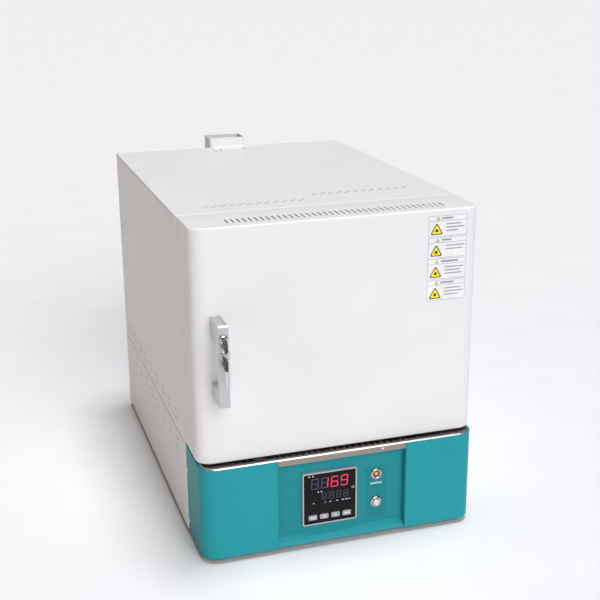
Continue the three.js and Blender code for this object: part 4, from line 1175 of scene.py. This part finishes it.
def add_heating_element(side):
    """A close coil of resistance wire that runs to and fro along one side wall."""
    name = f"heating_element_{side}"
    low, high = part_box(name)
    x = (low.x + high.x) / 2
    coil = 2.5 * MM
    pitch = (high.z - low.z - 2 * coil) / (COIL_RUNS - 1)
    bend = pitch / 2
    near, far = low.y + coil + bend, high.y - coil - bend
    line = []
    for run in range(COIL_RUNS):
        z = low.z + coil + run * pitch
        ends = (far, near) if run % 2 == 0 else (near, far)
        steps = 60
        line += [Vector((x, ends[0] + (ends[1] - ends[0]) * i / steps, z)) for i in range(steps + 1)]
        if run < COIL_RUNS - 1:
            out = -1 if run % 2 == 0 else 1
            for i in range(1, 12):
                a = math.pi * i / 12
                line.append(Vector((x, ends[1] + out * bend * math.sin(a), z + bend * (1 - math.cos(a)))))
    wire = 0.55 * MM
    radius = coil - wire
    lengths = [0.0]
    for a, b in zip(line, line[1:]):
        lengths.append(lengths[-1] + (b - a).length)
    per_turn = 9
    count = int(lengths[-1] / COIL_TURN * per_turn)
    path, k = [], 0
    for i in range(count + 1):
        s = lengths[-1] * i / count
        while k < len(lengths) - 2 and lengths[k + 1] < s:
            k += 1
        t = (s - lengths[k]) / (lengths[k + 1] - lengths[k])
        along = (line[k + 1] - line[k]).normalized()
        across = Vector((1, 0, 0))
        third = along.cross(across)
        a = 2 * math.pi * i / per_turn
        path.append(line[k].lerp(line[k + 1], t) + (across * math.cos(a) + third * math.sin(a)) * radius)
    bm = bmesh.new()
    tube(bm, path, wire, 5)
    finish_piece(f"coil_{side}", bm, ["resistance_wire"], "cabinet", [name])


def add_coil_holders():
    """Small ceramic hooks that hold the coils to the side walls."""
    bm = bmesh.new()
    for side, outward in (("left", -1), ("right", 1)):
        low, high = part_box(f"heating_element_{side}")
        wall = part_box("insulation_left")[1].x if outward < 0 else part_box("insulation_right")[0].x
        pitch = (high.z - low.z - 5 * MM) / (COIL_RUNS - 1)
        for run in range(COIL_RUNS):
            z = low.z + 2.5 * MM + run * pitch
            for share in (0.16, 0.5, 0.84):
                y = low.y + (high.y - low.y) * share
                lathe(bm, (wall, y, z + 4.2 * MM), (-outward, 0, 0),
                      [(2.2 * MM, -3 * MM), (2.2 * MM, 5.6 * MM), (1.7 * MM, 6.2 * MM), (0.9 * MM, 6.4 * MM)], 12)
    finish_piece("coil_pegs", bm, ["ceramic"], "cabinet", ())


def add_thermocouple():
    low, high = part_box("thermocouple")
    centre = ((low.x + high.x) / 2, low.y, (low.z + high.z) / 2)
    length = high.y - low.y
    tip = [(4 * math.sin(math.radians(15 * i)), 4 - 4 * math.cos(math.radians(15 * i))) for i in range(1, 7)]
    profile = [(r * MM, h * MM) for r, h in tip]
    head = length - 32 * MM
    profile += [(4 * MM, head - 8 * MM), (6.5 * MM, head - 7.5 * MM), (6.5 * MM, head), (16 * MM, head + 0.5 * MM),
                (17 * MM, head + 1.5 * MM), (17 * MM, length - 10 * MM), (16.2 * MM, length - 9 * MM),
                (17 * MM, length - 8 * MM), (17 * MM, length - 2 * MM), (15 * MM, length), (4 * MM, length)]
    bm = bmesh.new()
    lathe(bm, centre, (0, 1, 0), profile, 32)
    finish_piece("thermocouple_probe", bm, ["ceramic"], "cabinet", ["thermocouple"])


# ---- feet, gland and hinges ----
def add_feet():
    for corner in ("front_left", "front_right", "rear_left", "rear_right"):
        low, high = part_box(f"foot_{corner}")
        centre = ((low.x + high.x) / 2, (low.y + high.y) / 2, low.z)
        tall = (high.z - low.z) / MM
        profile = [(4.5, 2.2), (5.5, 0.4), (6.2, 0.0), (12.4, 0.0), (13.0, 0.5), (13.3, 2.0), (14.6, tall - 1.0),
                   (14.9, tall - 0.4), (14.7, tall)]
        bm = bmesh.new()
        lathe(bm, centre, (0, 0, 1), [(r * MM, h * MM) for r, h in profile], 40)
        finish_piece(f"rubber_foot_{corner}", bm, ["rubber"], "cabinet", [f"foot_{corner}"])


def add_rest_pad():
    low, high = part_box("door_rest_pad")
    centre = ((low.x + high.x) / 2, (low.y + high.y) / 2, low.z)
    tall = high.z - low.z
    profile = [(9.0 * MM, -0.3 * MM), (9.0 * MM, tall - 0.5 * MM), (8.6 * MM, tall - 0.1 * MM), (8.1 * MM, tall),
               (3.2 * MM, tall), (2.4 * MM, tall - 0.6 * MM)]
    bm = bmesh.new()
    lathe(bm, centre, (0, 0, 1), profile, 40)
    finish_piece("rest_pad", bm, ["rubber"], "cabinet", ["door_rest_pad"])


def add_gland():
    low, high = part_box("cable_gland")
    centre = ((low.x + high.x) / 2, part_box("rear_panel")[1].y + 0.3 * MM, (low.z + high.z) / 2)
    nut = [(10.8, 0.0), (12.9, 0.9), (12.9, 6.8), (10.8, 7.7), (10.0, 7.7), (10.0, 0.0), (10.8, 0.0)]
    bm = bmesh.new()
    lathe(bm, centre, (0, 1, 0), [(r * MM, h * MM) for r, h in nut], 6)
    dome = [(7.5, -12.0), (7.5, -0.2), (9.95, 0.2), (9.95, 8.0), (9.6, 8.6), (9.8, 9.6), (9.8, 14.5), (9.2, 17.5),
            (7.9, 20.0), (6.2, 21.3), (5.0, 21.7), (4.2, 21.5), (4.0, 20.8), (4.0, -12.0), (7.5, -12.0)]
    lathe(bm, centre, (0, 1, 0), [(r * MM, h * MM) for r, h in dome], 32)
    for i in range(12):
        a = 2 * math.pi * i / 12
        u, v = math.cos(a), math.sin(a)
        spots = [(9.4, -0.8), (10.0, -0.4), (10.0, 0.4), (9.4, 0.8)]
        rib = [(centre[0] + (r * u - t * v) * MM, centre[2] + (r * v + t * u) * MM) for r, t in spots]
        prism(bm, rib, on_front(centre[1] + 10 * MM), on_front(centre[1] + 14.5 * MM))
    finish_piece("cable_gland_body", bm, ["black_plastic"], "cabinet", ["cable_gland"])


def add_hinge(place):
    """A lift-off pair of flags: the cabinet's has the pin, and the door's drops onto it."""
    for part, body, pin in (("cabinet", "cabinet", True), ("door", "door", False)):
        name = f"hinge_{part}_{place}"
        low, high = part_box(name)
        axis_x = high.x - 4.5 * MM
        axis_y = low.y + 4.5 * MM if pin else high.y - 4.5 * MM
        top = low.z + 29.85 * MM if pin else high.z
        bm = bmesh.new()
        knuckle = [(2.5, 0.0), (4.2, 0.0), (4.5, 0.35), (4.5, 29.5), (4.2, 29.85), (2.5, 29.85), (2.5, 0.0)]
        lathe(bm, (axis_x, axis_y, low.z), (0, 0, 1), [(r * MM, h * MM) for r, h in knuckle], 32)
        far = high.y if pin else low.y
        reach = 1 if pin else -1
        start = axis_y + reach * 1.2 * MM
        leaf = soft_outline([(start, low.z), (far, low.z), (far, top), (start, top)],
                            [0, 4 * MM, 4 * MM, 0], 6)
        prism(bm, leaf, on_side(low.x), on_side(low.x + 2 * MM))
        if pin:
            tall = (high.z - low.z) / MM
            rod = [(2.4, 0.3), (2.4, 29.6), (2.2, 29.9), (2.2, tall - 0.9), (1.8, tall - 0.3), (1.0, tall)]
            lathe(bm, (axis_x, axis_y, low.z), (0, 0, 1), [(r * MM, h * MM) for r, h in rod], 24)
        finish_piece(f"{name}_flag", bm, ["zinc"], body, [name], 0, 0.2 * MM)
        spots = [(low.x + 2 * MM, axis_y + reach * 24 * MM, low.z + rise) for rise in (7 * MM, 23 * MM)]
        SCREWS[body] += [(spot, (1, 0, 0), 2.4 * MM, 0.9 * MM) for spot in spots]


# ---- screws ----
SCREWS = {"cabinet": [], "door": []}


def screw_head(bm, spot, axis, radius, height):
    """A pan head with a cross recess, made of rings whose height dips inside the cross."""
    u, v, w = frame_for(axis)
    spot = Vector(spot)
    steps, rings = 24, 7
    levels = []
    for k in range(rings):
        share = 1 - k / rings
        dome = height * math.sqrt(max(0.0, 1 - (share * 0.93) ** 2.4))
        ring = []
        for i in range(steps):
            a = 2 * math.pi * i / steps
            x, y = radius * share * math.cos(a), radius * share * math.sin(a)
            arm = radius * 0.16
            in_cross = (abs(x) < arm or abs(y) < arm) and share < 0.62
            ring.append(spot + u * x + v * y + w * (dome - (height * 0.55 if in_cross else 0)))
        levels.append(ring)
    base = [spot + u * radius * math.cos(2 * math.pi * i / steps) + v * radius * math.sin(2 * math.pi * i / steps)
            - w * 0.3 * MM for i in range(steps)]
    loft(bm, [base] + levels)


def collect_screws():
    """Screws in the panels: the base's side returns and lip, and round the rear panel."""
    deck_low, deck_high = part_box("deck_plate")
    SCREWS["cabinet"].append(((deck_low.x + 305 * MM, deck_low.y, deck_high.z - 6 * MM), (0, -1, 0), 2.2 * MM, 0.3 * MM))
    SCREWS["cabinet"].append(((deck_high.x - 372 * MM, deck_low.y, deck_high.z - 6 * MM), (0, -1, 0), 2.2 * MM, 0.3 * MM))
    for side, outward in (("left", -1), ("right", 1)):
        low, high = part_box(f"fascia_wing_{side}")
        x = low.x if outward < 0 else high.x
        for z in (29 * MM, 126 * MM):
            SCREWS["cabinet"].append(((x, high.y - 7.5 * MM, z), (outward, 0, 0), 4.2 * MM, 1.9 * MM))
    low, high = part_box("rear_panel")
    edge = 12 * MM
    columns = [low.x + edge, (low.x + high.x) / 2 + 90 * MM, (low.x + high.x) / 2 - 90 * MM, high.x - edge]
    rows = [low.z + edge + (high.z - low.z - 2 * edge) * i / 4 for i in range(5)]
    spots = [(x, z) for x in columns for z in (rows[0], rows[-1])]
    spots += [(x, z) for x in (columns[0], columns[-1]) for z in rows[1:-1]]
    SCREWS["cabinet"] += [((x, high.y, z), (0, 1, 0), 3.4 * MM, 1.5 * MM) for x, z in spots]
    low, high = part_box("door_inner_plate")
    edge = 14 * MM
    for x in (low.x + edge, (low.x + high.x) / 2, high.x - edge):
        for z in (low.z + edge, high.z - edge):
            SCREWS["door"].append(((x, high.y, z), (0, 1, 0), 3.2 * MM, 1.3 * MM))
    tab_low, tab_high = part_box("flue_duct")
    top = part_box("top_cover")[1].z + 1.4 * MM
    for x in (tab_low.x + 12 * MM, tab_high.x - 12 * MM):
        SCREWS["cabinet"].append(((x, tab_low.y + 12 * MM, top), (0, 0, 1), 3.0 * MM, 1.2 * MM))


def add_screws():
    for body, found in SCREWS.items():
        bm = bmesh.new()
        for spot, axis, radius, height in found:
            screw_head(bm, spot, axis, radius, height)
        finish_piece(f"screws_{body}", bm, ["screw_zinc"], body, ())


# ---- door label ----
LABEL_CELLS = 4


def add_label():
    """A sticker with four plain cells: a yellow triangle, a heading bar and grey lines in each."""
    low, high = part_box("door_shell")
    face = low.y
    left, right = low.x + 387 * MM, low.x + 456 * MM
    bottom, top = 407 * MM, 550 * MM
    cell = (top - bottom) / LABEL_CELLS

    def flat(outline, lift, index):
        prism(bm, outline, on_front(face - 0.02 * MM), on_front(face - lift * MM), index)

    def triangle(centre, side, corner):
        tall = side * math.sqrt(3) / 2
        points = [(centre[0] - side / 2, centre[1] - tall / 3), (centre[0] + side / 2, centre[1] - tall / 3),
                  (centre[0], centre[1] + tall * 2 / 3)]
        return soft_outline(points, [corner] * 3, 4)

    bm = bmesh.new()
    flat(rounded((left, bottom), (right, top), 1.5 * MM, 4), 0.12, 0)
    line = 0.45 * MM
    for i in range(LABEL_CELLS):
        z0 = bottom + i * cell
        z1 = z0 + cell
        title = z1 - 9.5 * MM
        inner = 1.2 * MM
        for z in (z0 + inner, title, z1 - inner):
            flat([(left + inner, z - line), (right - inner, z - line), (right - inner, z + line), (left + inner, z + line)],
                 0.16, 1)
        for x in (left + inner, right - inner):
            flat([(x - line, z0 + inner), (x + line, z0 + inner), (x + line, z1 - inner), (x - line, z1 - inner)], 0.16, 1)
        small = (left + 17 * MM, title + 3.4 * MM)
        flat(triangle(small, 7.0 * MM, 0.7 * MM), 0.18, 4)
        flat(triangle(small, 4.9 * MM, 0.4 * MM), 0.22, 3)
        width = (24, 30, 17, 19)[i]
        flat(rounded((left + 24 * MM, title + 2.8 * MM), (left + (24 + width) * MM, title + 5.8 * MM), 0.6 * MM, 3), 0.17, 2)
        big = (left + 15 * MM, z0 + 10.6 * MM)
        flat(triangle(big, 23.0 * MM, 2.0 * MM), 0.18, 4)
        flat(triangle(big, 17.6 * MM, 1.4 * MM), 0.22, 3)
        flat(circle(big, 2.6 * MM, 20), 0.25, 4)
        widths = ((30, 34, 26), (33, 28, 31), (34, 30), (27, 33, 22))[i]
        for row, length in enumerate(widths):
            z = title - (5.6 + 5.4 * row) * MM
            bar = rounded((left + 31 * MM, z - 0.9 * MM), (left + (31 + length) * MM, z + 0.9 * MM), 0.5 * MM, 3)
            flat(bar, 0.17, 2)
    inks = ["label_stock", "label_line", "label_text", "label_yellow", "label_black"]
    finish_piece("door_label", bm, inks, "door")


# ---- build ----
SOFT_EDGES = {
    "insulation_floor": 1.5, "insulation_roof": 1.5, "insulation_left": 1.2, "insulation_right": 1.2,
    "insulation_rear": 1.2, "hearth_plate": 1.5, "door_insulation": 1.2, "door_plug": 2.0,
}
add_door_shell()
add_door_seal()
add_side_panels()
add_top_cover()
add_rear_panel()
add_wing("left", -1)
add_wing("right", 1)
add_deck()
add_control_panel()
add_controller()
add_controller_keys()
add_lamps()
add_handle()
add_lock()
add_keys()
add_flue()
add_heating_element("left")
add_heating_element("right")
add_coil_holders()
add_thermocouple()
add_feet()
add_rest_pad()
add_gland()
add_hinge("lower")
add_hinge("upper")
collect_screws()
add_screws()
add_label()
for node_name, cad_node in frame["nodes"].items():
    if not cad_node.hide_render:
        keep_cad(node_name, SOFT_EDGES.get(node_name, 0.4) * MM)
